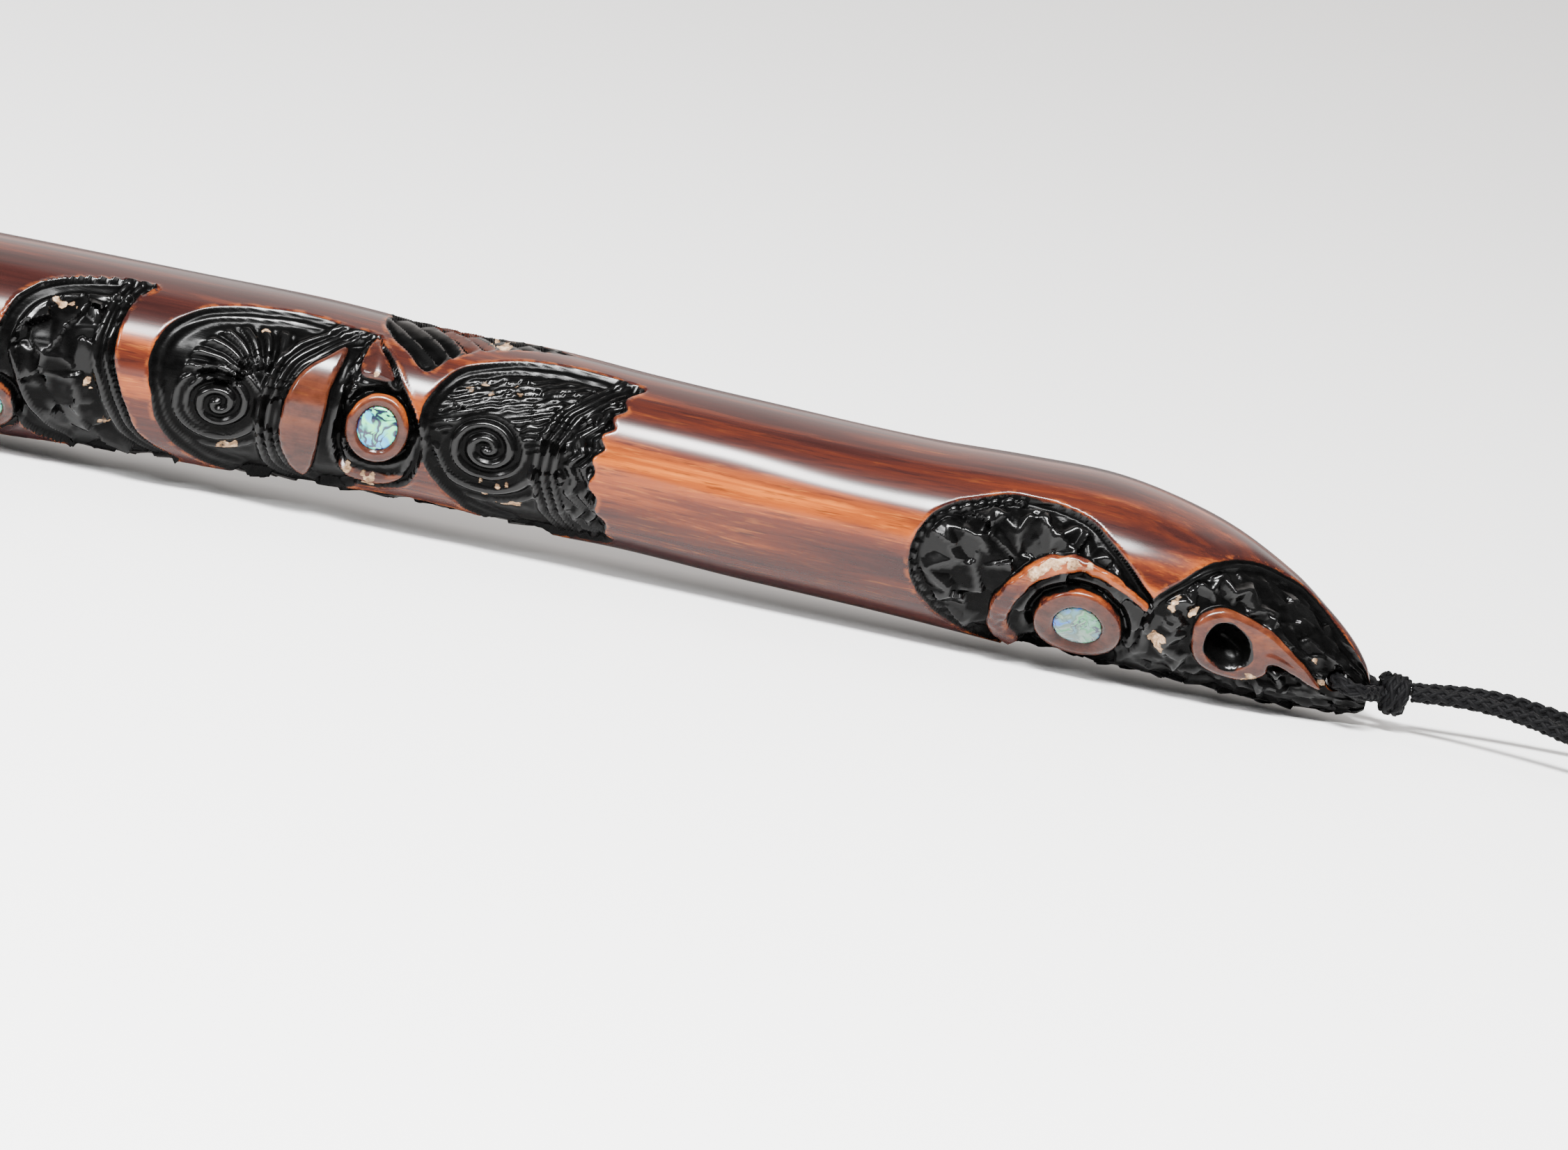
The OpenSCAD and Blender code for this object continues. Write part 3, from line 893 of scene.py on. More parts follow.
def right_crescent(zone):
    d = zone.within(RIGHT_UPPER + RIGHT_RAGGED + RIGHT_LOWER, 4)
    zone.sink(d, 1.6, 0.7)
    here = ease(d / 0.7)
    from_left = zone.off([(58, -66), (51.5, -59), (46, -42), (43, -27), (40, -5)] + RIGHT_UPPER)
    zone.add(here * ease((2.3 - from_left) / 0.9) * (1 - 0.25 * bump(from_left, 1.3, 1.4)), 0.8)
    right = zone.u - np.interp(zone.v, RAGGED_V, RAGGED_U)
    low = ease((from_left - 2.4) / 0.5) * ease((-right - 2.6) / 0.5) * here
    centre = (52.3, -2)
    r = zone.polar(centre)[0]
    hatch = low * ease((r - 7.0) / 0.6) * (zone.v > 1)
    fine = (zone.v - 0.45 * zone.u) + 0.5 * zone.noise(1.6, 31)
    zone.add(hatch * np.cos(2 * math.pi * fine / 1.4) * (0.7 + 0.6 * zone.noise(1.2, 32)), 0.3)
    zone.spiral(centre, 7.4, 2.9, 0.52, 0.55)
    zone.add(low * bump(r, 9.4, 3.0) * ease((-1 - zone.v) / 2), 1.0)
    zone.add(low * bump(r, 12.6, 1.8) * ease(-zone.v / 2), 0.7)
    for place, high in ((-2.9, 0.95), (-1.1, 0.95), (0.7, 1.0)):
        zone.add(here * roof(right, place, 1.8), high)
    run = zone.v + 0.25 * zone.noise(3.0, 33)
    zigzag = np.abs((run / 6.4) % 1 - 0.5) * 4 - 1
    rough = here * ease((right - 1.4) / 0.5)
    zone.add(rough * roof((right + 1.0 * zigzag) % 2.6, 1.3, 2.6), 1.15)
    zone.facets(rough, 3.0, 0.12, 0.14, 35)
    zone.chips(((58, -42), 1.3, 1.0, 1.8, 10), ((53.5, -38), 0.9, 0.9))
    for place in ((47, 38), (49.5, 44), (51, 37), (55, 47), (56, 40)):
        zone.chip(place, 0.9, 0.5)
    for place in ((52.5, -27), (55.5, -28), (57, -25)):
        zone.chip(place, 0.7, 0.6)


# %% [markdown]
# A leaf-shaped panel of overlapping leaves runs over the top. The same panel is on both halves, and
# they meet at the seam.

# %% Top panel
def top_panel(zone):
    d = zone.within([(30.6, 66), (35, 52), (39.2, 40), (43, 54), (47, 66), (53, 76), (60, 84),
                     (65, 91), (63, 102), (50, 118), (38, 116), (31.5, 96), (29.8, 80)])
    zone.sink(d, 1.5)
    here = ease(d / 0.8)
    lean = zone.u + 0.9 * (zone.v - 16) + 0.5 * zone.noise(3.0, 41)
    leaf = (lean / 4.4) % 1
    zone.add(here * (leaf ** 0.7) * ease((1 - leaf) / 0.14), 1.7)
    zone.add(here * roof(d, 0.3, 1.2), 0.25)
    bare = here * ease((leaf - 0.12) / 0.15) * ((lean > 47.1) & (lean < 55.8))
    field = zone.field
    field.dusk = np.maximum(field.dusk, 0.7 * bare)
    field.ink = np.where(bare > 0.3, np.minimum(field.ink, 0.4 - bare * 1.5), field.ink)
    zone.chip((50.4, 84), 1.7)


# %% [markdown]
# Under the band the underside is sunk in rough chisel faces and made black.

# %% Belly of the band
def belly(zone):
    d = zone.within([(-39, -78), (-30, -68), (-18, -63), (-4, -62), (6, -64), (22, -62), (34, -57),
                     (46, -59), (60, -66), (70, -80), (70, -120), (-39, -120)])
    zone.sink(d, 0.9)
    zone.facets(ease(d / 0.8), 4.2, 0.2, 0.25, 91)


# %% [markdown]
# ## The head
# A brow of large dog-tooth faces arches over the head eye. Its outer rim is notched like a rope,
# and a brow ridge of bare wood crumbles along its inner edge.

# %% Brow
def brow(zone):
    outer = [(145, -72), (139, -56), (134, -40), (130, -21), (129, 1.5), (131, 21), (135, 33),
             (142, 44), (150.5, 48), (159, 41), (166, 25), (170.5, 12), (173.4, 3)]
    d = zone.within(outer + [(173, -14), (172, -40), (166, -70), (160, -84), (150, -80)])
    zone.sink(d, 1.5, 0.7)
    here = ease(d / 0.7)
    t, run = zone.beside(outer)
    t = np.abs(t)
    notch = np.abs(((run + 0.8 * t) / 2.6) % 1 - 0.5) * 2
    zone.add(here * bump(t, 1.0, 1.9) * (0.35 + 0.65 * ease(notch * 1.6)) * (run < 52), 1.0)
    ground = here * ease((t - 1.8) / 0.4)
    across, run = zone.beside([(141, -62), (136.5, -38), (135, -14), (136, 8), (141, 24), (149, 33),
                               (157, 30), (164, 17), (170, 4)])
    zone.facets(ground, 5.4, 0.30, 0.30, 52)
    zone.teeth(across, run, 4.8, 7.6, 1.35, 3.8, ground)
    brow_ridge(zone)


def brow_ridge(zone):
    """The bare, crumbling ridge between the brow and the eye."""
    across, run = zone.beside([(150.5, -62), (147.2, -45), (147, -26), (149.2, -8), (153, 5),
                               (158, 11), (163.5, 10), (168.5, 4), (173, -3)])
    width = 1.7 + 0.35 * zone.noise(2.0, 53) - 0.9 * ease((run - 24) / 10)
    zone.island(width - np.abs(across), 0.2, 0.7, 0.1)
    zone.add(ease(width - np.abs(across)) * roof(across, 0.4, 3.2), 0.5)
    crumbs = zone.noise(0.8, 54)
    high = ease(1.6 - np.abs(across)) * ease((run - 17) / 4) * ease((33 - run) / 5)
    rim = ease(1.9 - np.abs(across)) * ease(run / 6)
    zone.field.height += 0.3 * rim * crumbs
    zone.field.scuff = np.maximum(zone.field.scuff, ease(high * (0.75 + 0.6 * crumbs)))


# %% [markdown]
# A scroll of brown wood round a deep pit covers the snout, inside a ring of teeth, and black carving
# runs down to the belly.

# %% Snout
# The pit's centre, as a place along the body and a turn.
PIT = (188, -11)


def snout(zone):
    edge = [(170, -34), (171.6, -17), (173, 5), (178, 24), (184, 46), (193, 68), (202, 79), (210, 68)]
    d = zone.within([(171.6, -17), (173, 5), (178, 24), (184, 46), (193, 68), (202, 79), (208, 72),
                     (213, 62), (222, 60), (222, -120), (190, -120), (152, -120), (150, -60),
                     (158, -52), (165, -45), (170, -34)], 4)
    zone.sink(d, 1.2, 0.7)
    here = ease(d / 0.7)
    t = zone.off(edge)
    zone.add(here * bump(t, 1.0, 1.9), 0.85)
    r, angle = zone.polar(PIT)
    below = here * ease((-42 * zone.per_degree - zone.v) / 2)
    zone.facets(below, 3.4, 0.22, 0.35, 61)
    ground = here * ease((t - 1.8) / 0.4) * (1 - below)
    zone.teeth(r - 10.8, -angle * 10.5, 2.6, 4.9, 1.4, 2.3, ground)
    zone.facets(ground * ease((r - 8) / 1), 3.2, 0.2, 0.18, 62)
    zone.chips(((175.5, -25), 1.3, 1.0, 1.5, -20), ((176.8, 4), 0.8, 0.7, 2.4, 65),
               ((181.0, 5), 0.7, 0.9, 2.6, 60), ((192.6, -31), 1.2, 0.8, 2.0, 35))
    scroll(zone)
    pit(zone, r)
    zone.chips(((207.0, -8), 0.75, 0.9, 3.2, 62), ((204.6, 10), 0.6, 0.8, 2.0, 80))


def scroll(zone):
    """A brown tail round the pit, with a black comma cut into its end."""
    tail = [(181.2, -10), (182.2, 4), (186, 14), (191, 16), (197, 11), (203, -1), (206.4, -17),
            (204, -18), (199.5, -12), (196, -13), (195.2, -24), (191, -36), (185.5, -35), (182, -25)]
    d = zone.within(tail)
    zone.island(d, 0.15, 0.8, 0.75)
    zone.add(bump(d, 1.3, 2.4), 0.25)
    comma = [(196.4, -13), (200, -11), (203.6, -17), (203, -27), (199, -34), (196, -28), (197.6, -20)]
    zone.sink(zone.within(comma, 4), 0.7)


def pit(zone, r):
    """A black funnel, given each point's distance from its centre."""
    zone.add(ease((4.6 - r) / 1.2), -1.0)
    zone.add(np.clip((4.2 - r) / 3.6, 0, 1) ** 0.6, -4.6)
    stained = np.maximum(zone.field.ink, 4.5 - r + 0.3 * zone.noise(1.5, 63))
    zone.field.ink = np.where(r < 5.2, stained, zone.field.ink)


# %% [markdown]
# ## From carving to mesh
# A half body is a row of closed sections: the outer skin, then back down the glue face with the half
# bore in it. The sections stand close together where there is carving and far apart where the wood is
# plain. The left half is the same mesh mirrored, because the maker worked both sides alike.

# %% Sections and their field
OUTER_STEPS, BORE_STEPS = 126, 10
# Where the sections change their spacing: a place, and the step from there on.
COLUMNS = [(OPEN_X, 1.0), (OPEN_X + 4, 3.2), (-86, 0.43), (88, 3.0), (124, 3.0), (128, 0.42),
           (TIP_X, 0)]
# The bore's flat end lies between two sections this far apart.
END_GAP = 0.4


def section_places():
    places = []
    for k, (start, step) in enumerate(COLUMNS[:-1]):
        end = COLUMNS[k + 1][0]
        count = max(int(round((end - start) / step)), 1)
        places.extend(np.linspace(start, end, count + 1)[:-1])
    ends = [BORE_END, BORE_END + END_GAP]
    places = [p for p in places if all(abs(p - end) > END_GAP / 2 for end in ends)]
    return np.array(sorted(places + ends + [TIP_X]))


class Field:
    """The grid of skin points with its height, stain, bareness, glaze (with painted highlights) and
    rubbed crests.
    """

    def __init__(self):
        turns = np.linspace(-90, 90, OUTER_STEPS + 1)
        self.x, self.turn = np.meshgrid(section_places(), turns, indexing="ij")
        self.height, self.scuff, self.dusk, self.crest = np.zeros((4, *self.x.shape))
        self.ink = np.full(self.x.shape, FAR_OUTSIDE)


# %% [markdown]
# Now everything is carved, in the order in which the shapes lie over each other. At the end the
# ground gets a fine ripple, and what stands proud of its surroundings is marked as rubbed.

# %% Carve
DEEPEST, HIGHEST = -6, 0.45


def blurred(grid, reach):
    """Mean over a square of cells, so many to each side."""
    for axis in (0, 1):
        grid = sum(np.roll(grid, shift, axis) for shift in range(-reach, reach + 1)) / (2 * reach + 1)
    return grid


def carve():
    field = Field()
    band = Chisel(field, BAND_ROUND)
    hip_crescent(band, 71)
    hip_crescent(Chisel(field, BAND_ROUND, EYES["hip_eye"][0] - LAYOUT_X), 72)
    for shape in (left_crescent, right_crescent, belly, top_panel, diamond):
        shape(band)
    brow(Chisel(field, BROW_ROUND))
    snout(Chisel(field, SNOUT_ROUND))
    for eye in EYES:
        cut_eye(field, eye)
    u, v = field.x, field.turn * BAND_ROUND
    stained = ease(field.ink / 0.5)
    field.height += stained * (0.025 * value_noise(u, v, 1.0, 81) + 0.05 * value_noise(u, v, 2.2, 82))
    field.height += 0.10 * value_noise(u / 4, v, 6.0, 83)
    end = ease((TIP_X - field.x) / 3)
    field.height = np.clip(field.height * (0.35 + 0.65 * end), DEEPEST, HIGHEST)
    proud = (field.height - blurred(field.height, 3)) / 0.22
    field.crest = np.maximum(field.crest, np.clip(proud, 0, 1))
    return field


FIELD = carve()
print("carved", int((FIELD.ink > 0).sum()), "of", FIELD.ink.size, "skin points")

# %% [markdown]
# Each section becomes a ring of points, and the rings are joined by four-sided faces. The numbers
# for the finish are stored on the points.

# %% Half body mesh
def inner_points(x):
    """Points from the top of the glue face to its foot, round the half bore where there is one."""
    open_part = x <= BORE_END + 1e-6
    a = np.radians(np.linspace(90, -90, BORE_STEPS + 1))
    centre = BORE_Z + (0 if open_part else along(np.array(x), 2))
    reach = BORE_R if open_part else min(BORE_R, 0.7 * half_height(np.array(x)))
    return np.stack([np.full(a.shape, x), -(BORE_R * np.cos(a) if open_part else 0 * a),
                     centre + reach * np.sin(a)], axis=-1)


def half_mesh(name):
    """The right half: every section is a ring of skin points and glue-face points."""
    outer = skin(FIELD.x, FIELD.turn, FIELD.height)
    outer[:, 0, 1] = outer[:, -1, 1] = 0
    outer[0, :, 0], outer[-1, :, 0] = OPEN_X, TIP_X
    inner = np.array([inner_points(x) for x in FIELD.x[:, 0]])
    rings = np.concatenate([outer, inner], axis=1)
    count, size = rings.shape[:2]
    i, j = np.meshgrid(np.arange(count - 1), np.arange(size), indexing="ij")
    k = (j + 1) % size
    quads = np.stack([i * size + j, i * size + k, (i + 1) * size + k, (i + 1) * size + j], axis=-1)
    faces = quads.reshape(-1, 4).tolist()
    faces.append(list(range(size))[::-1])
    faces.append([(count - 1) * size + n for n in range(size)])
    obj = make_mesh(name, rings.reshape(-1, 3), faces)
    for key in ("ink", "scuff", "dusk", "turn", "crest"):
        rest = np.full((count, BORE_STEPS + 1), FAR_OUTSIDE if key == "ink" else 0.0)
        full = np.concatenate([getattr(FIELD, key), rest], axis=1).astype(np.float32)
        obj.data.attributes.new(key, "FLOAT", "POINT").data.foreach_set("value", full.ravel())
    return obj


def signed_volume(mesh):
    mesh.calc_loop_triangles()
    corners = np.array([v.co for v in mesh.vertices])
    tris = np.array([t.vertices for t in mesh.loop_triangles])
    a, b, c = corners[tris[:, 0]], corners[tris[:, 1]], corners[tris[:, 2]]
    return float((a * np.cross(b, c)).sum() / 6)


# %% [markdown]
# ## Holes
# The blow hole and the five finger holes go through the far half only, along lines that lean back
# from straight up. The cord hole goes through both halves, from side to side. All the holes of a
# half are cut at once.

# %% Hole cutting
# Edges sharper than this stay crisp.
CRISP = math.radians(76)


def cylinder(start, end, radius, sides=40):
    """A closed cutter between two points."""
    start, end = np.array(start, float), np.array(end, float)
    axis = (end - start) / np.linalg.norm(end - start)
    side = np.cross(axis, (1, 0, 0) if abs(axis[0]) < 0.9 else (0, 1, 0))
    side /= np.linalg.norm(side)
    other = np.cross(axis, side)
    a = np.arange(sides) * 2 * math.pi / sides
    ring = radius * (np.cos(a)[:, None] * side + np.sin(a)[:, None] * other)
    points = np.concatenate([start + ring, end + ring])
    faces = [[k, (k + 1) % sides, sides + (k + 1) % sides, sides + k] for k in range(sides)]
    return points, faces + [list(range(sides))[::-1], list(range(sides, 2 * sides))]


def cut(obj, cylinders):
    """Cuts all the cylinders out of an object; each comes with the stain of its wall."""
    points, faces, ink = [], [], []
    for (part_points, part_faces), stain in cylinders:
        start = len(ink)
        faces += [[start + n for n in face] for face in part_faces]
        points.append(part_points)
        ink += [stain] * len(part_points)
    cutter = make_mesh("cutter", np.concatenate(points), faces, smooth=False)
    cutter.data.attributes.new("ink", "FLOAT", "POINT").data.foreach_set("value", ink)
    modifier = obj.modifiers.new("holes", "BOOLEAN")
    modifier.operation, modifier.object, modifier.solver = "DIFFERENCE", cutter, "MANIFOLD"
    made = apply_modifiers(obj)
    made.data.set_sharp_from_angle(angle=CRISP)
    bpy.data.objects.remove(cutter)
    return made


# %% [markdown]
# The left half is mirrored from the right one before any hole is cut, because only the cord hole goes
# through both.

# %% Body halves
LEAN = math.radians(40)
ROW = np.array([0, math.sin(LEAN), math.cos(LEAN)])
# Place along the body and diameter: the blow hole, then the finger holes.
HOLES = [(110, 10.5)] + [(x, 8.0) for x in (-180, -158, -136, -114, -92)]
CORD_HOLE_R = 2.0
CORD_Z = BORE_Z + float(along(np.array(HOLE_X), 2))
# The cutters start this far from the bore's middle and reach this far out.
CUT_START, CUT_REACH = 2, 30
# How far inside the black stain the wall of a hole counts.
STAINED_WALL, BARE_WALL = 3.0, -5.0


def mirrored(mesh):
    """A copy of a mesh, turned over to the other side of the middle plane."""
    copy = mesh.copy()
    coords = np.empty(len(copy.vertices) * 3, np.float32)
    copy.vertices.foreach_get("co", coords)
    coords[1::3] *= -1
    copy.vertices.foreach_set("co", coords)
    copy.flip_normals()
    return copy


def make_bodies():
    right = half_mesh("body_right_carved")
    if signed_volume(right.data) < 0:
        right.data.flip_normals()
    left = link(bpy.data.objects.new("body_left_carved", mirrored(right.data)))
    side = cylinder((HOLE_X, -CUT_REACH, CORD_Z), (HOLE_X, CUT_REACH, CORD_Z), CORD_HOLE_R)
    holes = [(side, STAINED_WALL)]
    right = cut(right, holes)
    for x, d in HOLES:
        foot = np.array([x, 0, BORE_Z]) + ROW * CUT_START
        holes.append((cylinder(foot, foot + ROW * CUT_REACH, d / 2), BARE_WALL))
    left = cut(left, holes)
    for half in (right, left):
        half.data.calc_loop_triangles()
        print(half.name, "triangles:", len(half.data.loop_triangles),
              "volume in ml:", round(signed_volume(half.data) * 1e6, 1))
    return right, left


BODY_RIGHT, BODY_LEFT = make_bodies()

# %% [markdown]
# ## Shell eyes
# The discs are cut from blue-green sea shell, ground to a low dome and set a little below the ring.
# The colours of such shell change in soft patches, with thin black growth lines running through
# them. The patches here come from a warped noise, and the lines from where a second noise crosses
# its middle value.

# %% Shell layers group
def make_shell_layers():
    """One node group for both kinds of shell: colour patches, growth lines and thin layers."""
    tree = bpy.data.node_groups.new("shell_layers", "ShaderNodeTree")
    tree.interface.new_socket("Place", in_out="INPUT", socket_type="NodeSocketVector")
    tree.interface.new_socket("Line width", in_out="INPUT", socket_type="NodeSocketFloat")
    for name in ("Patch", "Line", "Layers"):
        tree.interface.new_socket(name, in_out="OUTPUT", socket_type="NodeSocketFloat")
    g = Graph(tree)
    given = g.node("NodeGroupInput").outputs
    warp = g.node("ShaderNodeTexNoise", {"Vector": given["Place"], "Scale": 0.16, "Detail": 3.0})
    moved = g.vector("ADD", given["Place"], g.vector("SCALE", warp.outputs[1], 6.0))
    off = g.math("ABSOLUTE", g.math("SUBTRACT", g.noise(moved, 0.19, 3.0, 0.55, 0.8), 0.5))
    line = g.step(off, given["Line width"], g.times(given["Line width"], 0.3))
    g.node("NodeGroupOutput", {"Patch": g.noise(moved, 0.17, 2.0, 0.5, 0.6), "Line": line,
                               "Layers": g.noise(moved, 1.6, 3.0)})
    return tree


SHELL_LAYERS = make_shell_layers()

# %% [markdown]
# The two kinds of shell share the layers and differ in their colours. Those in the band are a vivid
# blue-green with wide lines, and the head's is paler and greener with thin ones. A violet tint shows
# where the surface is seen at a slant, as it does on real shell.

# %% Shell materials
def make_shell_material(name, colours, line_width, fine, violet):
    g = Finish(name)
    patch, line, layers = g.node("ShaderNodeGroup", {"Place": g.place(fine, fine, fine),
                                                     "Line width": line_width},
                                 node_tree=SHELL_LAYERS).outputs
    colour = g.mix(line, g.ramp(patch, colours), (0.006, 0.010, 0.025, 1))
    facing = g.node("ShaderNodeLayerWeight", {0: 0.35}).outputs[1]
    colour = g.tint(colour, facing, violet, (0.10, 0.06, 0.45))
    g.give(Base_Color=colour, Roughness=0.2, Coat_Weight=0.3, Coat_Roughness=0.05)
    g.bumps(layers, 0.25, 0.0001)
    return g.material


VIVID = [(0.30, (0.01, 0.04, 0.40)), (0.40, (0.01, 0.26, 0.50)), (0.48, (0.02, 0.46, 0.36)),
         (0.56, (0.10, 0.55, 0.18)), (0.64, (0.01, 0.22, 0.50)), (0.74, (0.05, 0.42, 0.50))]
PALE = [(0.36, (0.01, 0.10, 0.36)), (0.43, (0.05, 0.14, 0.16)), (0.49, (0.04, 0.08, 0.05)),
        (0.54, (0.12, 0.19, 0.14)), (0.60, (0.02, 0.16, 0.05)), (0.70, (0.11, 0.20, 0.17))]
SHELL_VIVID = make_shell_material("shell_vivid", VIVID, 0.036, 1.0, 0.4)
SHELL_PALE = make_shell_material("shell_pale", PALE, 0.016, 1.3, 0.12)

# %% [markdown]
# A disc could be a flat cylinder, but its edge would then stand out of the curved body. So its rings
# of points follow the skin, each ring a little lower than the last, down to the foot in its seat.

# %% Shell discs
# Heights of a disc's middle and of its foot, from the smooth skin.
DISC_TOP, DISC_FOOT = -0.32, -1.25


def make_shell(eye, side):
    """A closed disc whose top and foot follow the skin of the body."""
    cx, ct, wide, high = EYES[eye]
    degree = one_degree(cx, ct)
    rings, sides = 9, 64
    a = np.arange(sides) * 2 * math.pi / sides
    levels = [(k / rings, DISC_TOP - 0.25 * (k / rings) ** 2) for k in range(1, rings)]
    levels += [(0.965, -0.62), (0.985, -0.72), (0.985, DISC_FOOT)]
    points = [skin(cx, ct, DISC_TOP)]
    for share, lift in levels:
        points.extend(skin(cx + share * wide / 2 * np.cos(a),
                           ct + share * high / 2 * np.sin(a) / degree, np.full(sides, lift)))
    points.append(skin(cx, ct, DISC_FOOT))
    points = np.array([np.ravel(p) for p in points])
    faces = [[0, 1 + k, 1 + (k + 1) % sides] for k in range(sides)]
    for n in range(len(levels) - 1):
        low, up = 1 + n * sides, 1 + (n + 1) * sides
        faces += [[low + k, up + k, up + (k + 1) % sides, low + (k + 1) % sides] for k in range(sides)]
    last = 1 + (len(levels) - 1) * sides
    faces += [[len(points) - 1, last + (k + 1) % sides, last + k] for k in range(sides)]
    if side == "left":
        points[:, 1] *= -1
    obj = make_mesh(eye + "_shell_" + side, points, faces)
    if signed_volume(obj.data) < 0:
        obj.data.flip_normals()
    obj.data.materials.append(SHELL_PALE if eye == "head_eye" else SHELL_VIVID)
    return obj


SHELLS = {(eye, side): make_shell(eye, side) for eye in EYES for side in ("right", "left")}
print("shell discs:", sorted(o.name for o in SHELLS.values()))

# %% [markdown]
# ## Varnished and stained wood
# One finish covers the whole body, because it is one surface: red-brown wood under clear varnish,
# black stain in the sunk ground, a dusky glaze on the raised brown shapes, and bare wood where
# edges have crumbled. Light and shade are painted in as well: a brighter band of painted light
# along the middle of the side, painted shade towards the underside, and a painted highlight on the
# upper edges of the eye rings. The grain is noise stretched along the body. The stain's edge comes
# from the distance that the carving left on the mesh, so it is crisp at any size.

# %% Varnished wood with painted light and shade
WOOD_TONES = [(0.0, (0.007, 0.002, 0.002)), (0.25, (0.022, 0.005, 0.004)),
              (0.45, (0.062, 0.011, 0.004)), (0.65, (0.20, 0.042, 0.006)), (0.9, (0.50, 0.13, 0.014))]


def wood_with_painted_light(g, turn, grain, pores):
    """Streaked wood, pores and flecks; painted light mid-side, painted shade below."""
    bands = g.noise(g.place(0.004, 0.085, 0.085), 1.0, 3.0, 0.5, 0.4)
    # Painted light: a brighter band along the middle of the side, set by the turn round the body.
    painted_side_light = g.times(g.step(turn, -14.0, 8.0), g.step(turn, 42.0, 16.0))
    warm = g.plus(g.times(painted_side_light, 0.32), g.about(bands, 0.5, 0.9))
    tone = g.plus(g.about(grain, 0.5, 1.1), g.plus(warm, 0.27))
    wood = g.ramp(tone, WOOD_TONES)
    # Painted shade: the wood darkens towards the underside and goes nearly black at the bottom.
    wood = g.tint(wood, g.step(turn, -8.0, -60.0), 0.6, (0.012, 0.003, 0.004))
    wood = g.tint(wood, g.step(turn, -56.0, -74.0), 0.8, (0.004, 0.002, 0.002))
    wood = g.tint(wood, g.step(pores, 0.54, 0.68), 0.5, (0.010, 0.003, 0.003))
    flecks = g.noise(g.place(0.16, 2.0, 2.0), 1.0, 2.0, 0.6)
    glints = g.times(g.step(flecks, 0.56, 0.70), g.step(tone, 0.25, 0.6))
    return g.tint(wood, glints, 0.14, (0.60, 0.20, 0.03))


# %% [markdown]
# The stain and the broken places lie over the wood. Black ground takes hardly any varnish, and only
# its rubbed crests and faces shine. The varnish fades out towards the underside.

# %% Wood finish
GLAZE_TONES = [(0.3, (0.012, 0.004, 0.003)), (0.7, (0.052, 0.015, 0.009))]
SOOT_TONES = [(0.3, (0.0005, 0.0005, 0.0005)), (0.75, (0.002, 0.002, 0.002))]
RAW_TONES = [(0.35, (0.10, 0.055, 0.030)), (0.55, (0.34, 0.22, 0.13)), (0.75, (0.62, 0.50, 0.38))]


def make_wood():
    g = Finish("carved_wood")
    turn = g.stored("turn")
    grain = g.noise(g.place(0.012, 0.20, 0.20), 1.0, 6.0, 0.62, 0.6)
    pores = g.noise(g.place(0.12, 1.6, 1.6), 1.0, 3.0, 0.6)
    mottle = g.noise(g.place(0.35, 0.6, 0.6), 1.0, 4.0, 0.6)
    wood = wood_with_painted_light(g, turn, grain, pores)
    rough_edge = g.plus(g.stored("ink"), g.about(mottle, 0.5, 0.5))
    worn = g.times(g.step(rough_edge, -1.1, -0.2), g.step(mottle, 0.46, 0.6))
    wood = g.tint(wood, worn, 0.25, (0.36, 0.09, 0.018))
    wood = g.mix(g.stored("dusk"), wood, g.ramp(mottle, GLAZE_TONES))
    black = g.step(rough_edge, -0.12, 0.12)
    colour = g.mix(black, wood, g.ramp(mottle, SOOT_TONES))
    bare = g.step(g.plus(g.stored("scuff"), g.about(pores, 0.5, 0.9)), 0.38, 0.62)
    colour = g.mix(bare, colour, g.ramp(g.noise(g.place(), 0.9, 4.0, 0.7), RAW_TONES))
    gloss = g.mix_number(black, g.plus(g.times(grain, 0.12), 0.20), 0.24)
    rubbed = g.plus(g.times(g.stored("crest"), 0.48), 0.015)
    varnish = g.mix_number(bare, g.mix_number(black, 0.54, rubbed), 0.0)
    under = g.step(turn, -22.0, -66.0)
    g.give(Base_Color=colour, Roughness=g.mix_number(bare, gloss, 0.45), Coat_Roughness=0.18,
           Coat_Weight=g.mix_number(under, varnish, 0.0), Specular_IOR_Level=0.035)
    depth = g.times(mottle, g.plus(g.times(black, 0.8), 0.15))
    g.bumps(g.plus(g.times(pores, 0.5), depth), 0.35, 0.00012)
    return g.material


CARVED_WOOD = make_wood()
for half in (BODY_RIGHT, BODY_LEFT):
    half.data.materials.clear()
    half.data.materials.append(CARVED_WOOD)

# %% [markdown]
# ## The list of pieces
# Each piece stands for one CAD node, and is listed with the name of one of the record's finish slots.

# %% Pieces
PIECES = [(LOOP, ["cord_loop"], "cord"), (BIGHT, ["cord_bight"], "cord"),
          (KNOT, ["cord_knot"], "cord"), (BODY_RIGHT, ["body_half_right"], "carved_wood"),
          (BODY_LEFT, ["body_half_left"], "carved_wood")]
PIECES += [(shell, [eye + "_" + side], "shell") for (eye, side), shell in SHELLS.items()]

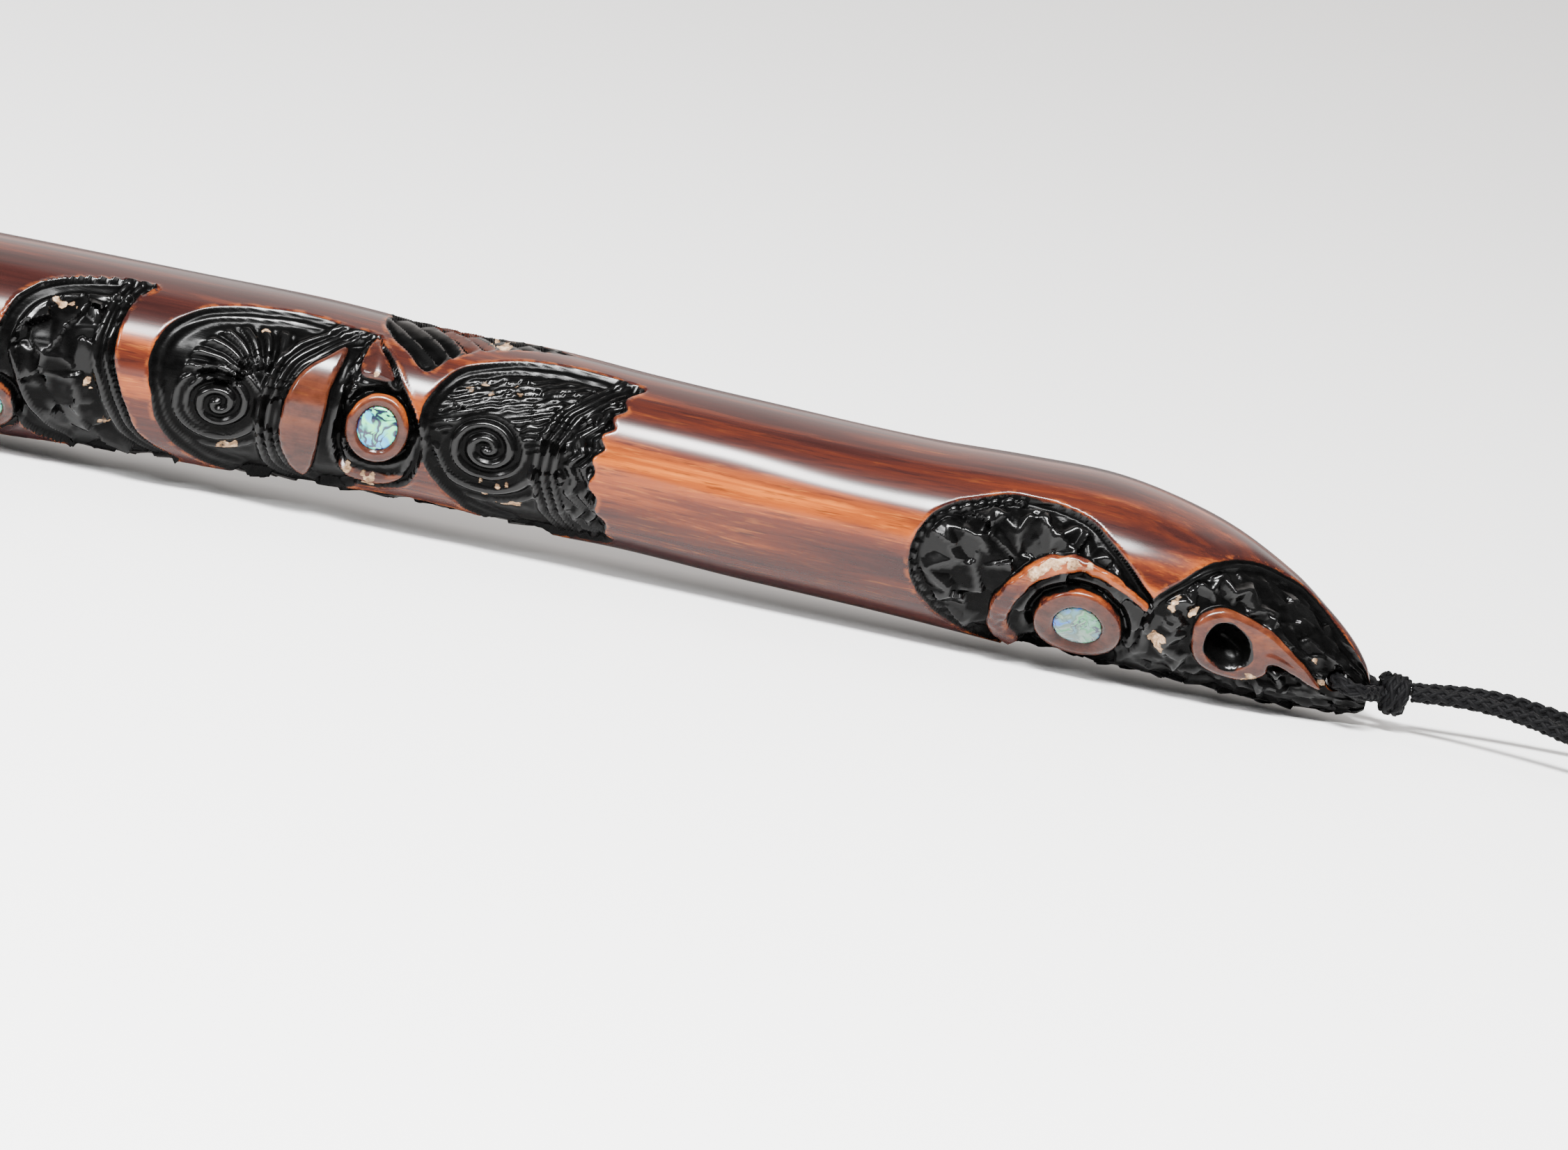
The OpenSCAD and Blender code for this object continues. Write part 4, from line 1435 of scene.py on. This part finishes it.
# %% [markdown]
# ## Ground and light
# The flute lies on a plain pale ground, under four soft panels and a dim white sky. A wide panel in
# front and above lays the long streak of gloss along the side, and a narrow one in its middle makes
# it brighter there. A big warm one behind gives the sheen along the top, and a small one on the left
# picks out the carved edges.

# %% Ground and light
GROUND_REACH = 12000
SKY = 0.42
WHITE, WARM = (1, 1, 1), (1.0, 0.93, 0.88)
# Place, where on the flute's line it aims, and sides, in metres; power in watts, and colour.
LIGHTS = {"wide_panel": ((0.15, -0.75, 1.05), 0.08, (0.90, 0.22), 64, WHITE),
          "narrow_panel": ((0.05, -0.70, 1.00), 0.08, (0.16, 0.26), 18, WHITE),
          "back_panel": ((0.0, 1.2, 1.1), 0.1, (2.0, 1.7), 20, WARM),
          "side_panel": ((-0.9, -0.9, 0.75), 0.05, (0.25, 0.35), 18, WHITE)}


def make_floor():
    g = Finish("pale_ground")
    g.give(Base_Color=(0.92, 0.92, 0.915, 1), Roughness=0.6)
    corners = [(x * GROUND_REACH, y * GROUND_REACH, 0)
               for x, y in ((-1, -1), (1, -1), (1, 1), (-1, 1))]
    floor = make_mesh("floor", corners, [(0, 1, 2, 3)])
    floor.data.materials.append(g.material)


def make_light(name, place, aim_x, sides, power, colour):
    data = bpy.data.lights.new(name, "AREA")
    data.shape = "RECTANGLE"
    data.size, data.size_y = sides
    data.energy, data.color = power, colour
    light = link(bpy.data.objects.new(name, data))
    light.location = place
    light.rotation_euler = (Vector(place) - Vector((aim_x, 0, 0))).to_track_quat("Z", "Y").to_euler()


def make_world():
    world = bpy.data.worlds.new("studio")
    world.use_nodes = True
    background = world.node_tree.nodes["Background"].inputs
    background[0].default_value, background[1].default_value = (1, 1, 1, 1), SKY
    bpy.context.scene.world = world


make_floor()
make_world()
for name, light in LIGHTS.items():
    make_light(name, *light)
print("lights:", ", ".join(LIGHTS))

# %% [markdown]
# ## Put it all on the frame
# Nothing on a flute moves, so every piece rides on the one body. Each piece's entry gives the CAD
# nodes it stands for, which are hidden, and the name of its finish slot, which is not used here.

# %% Frame
BODY = "root"
for piece, nodes, finish in PIECES:
    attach(piece, BODY)
    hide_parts(*nodes)
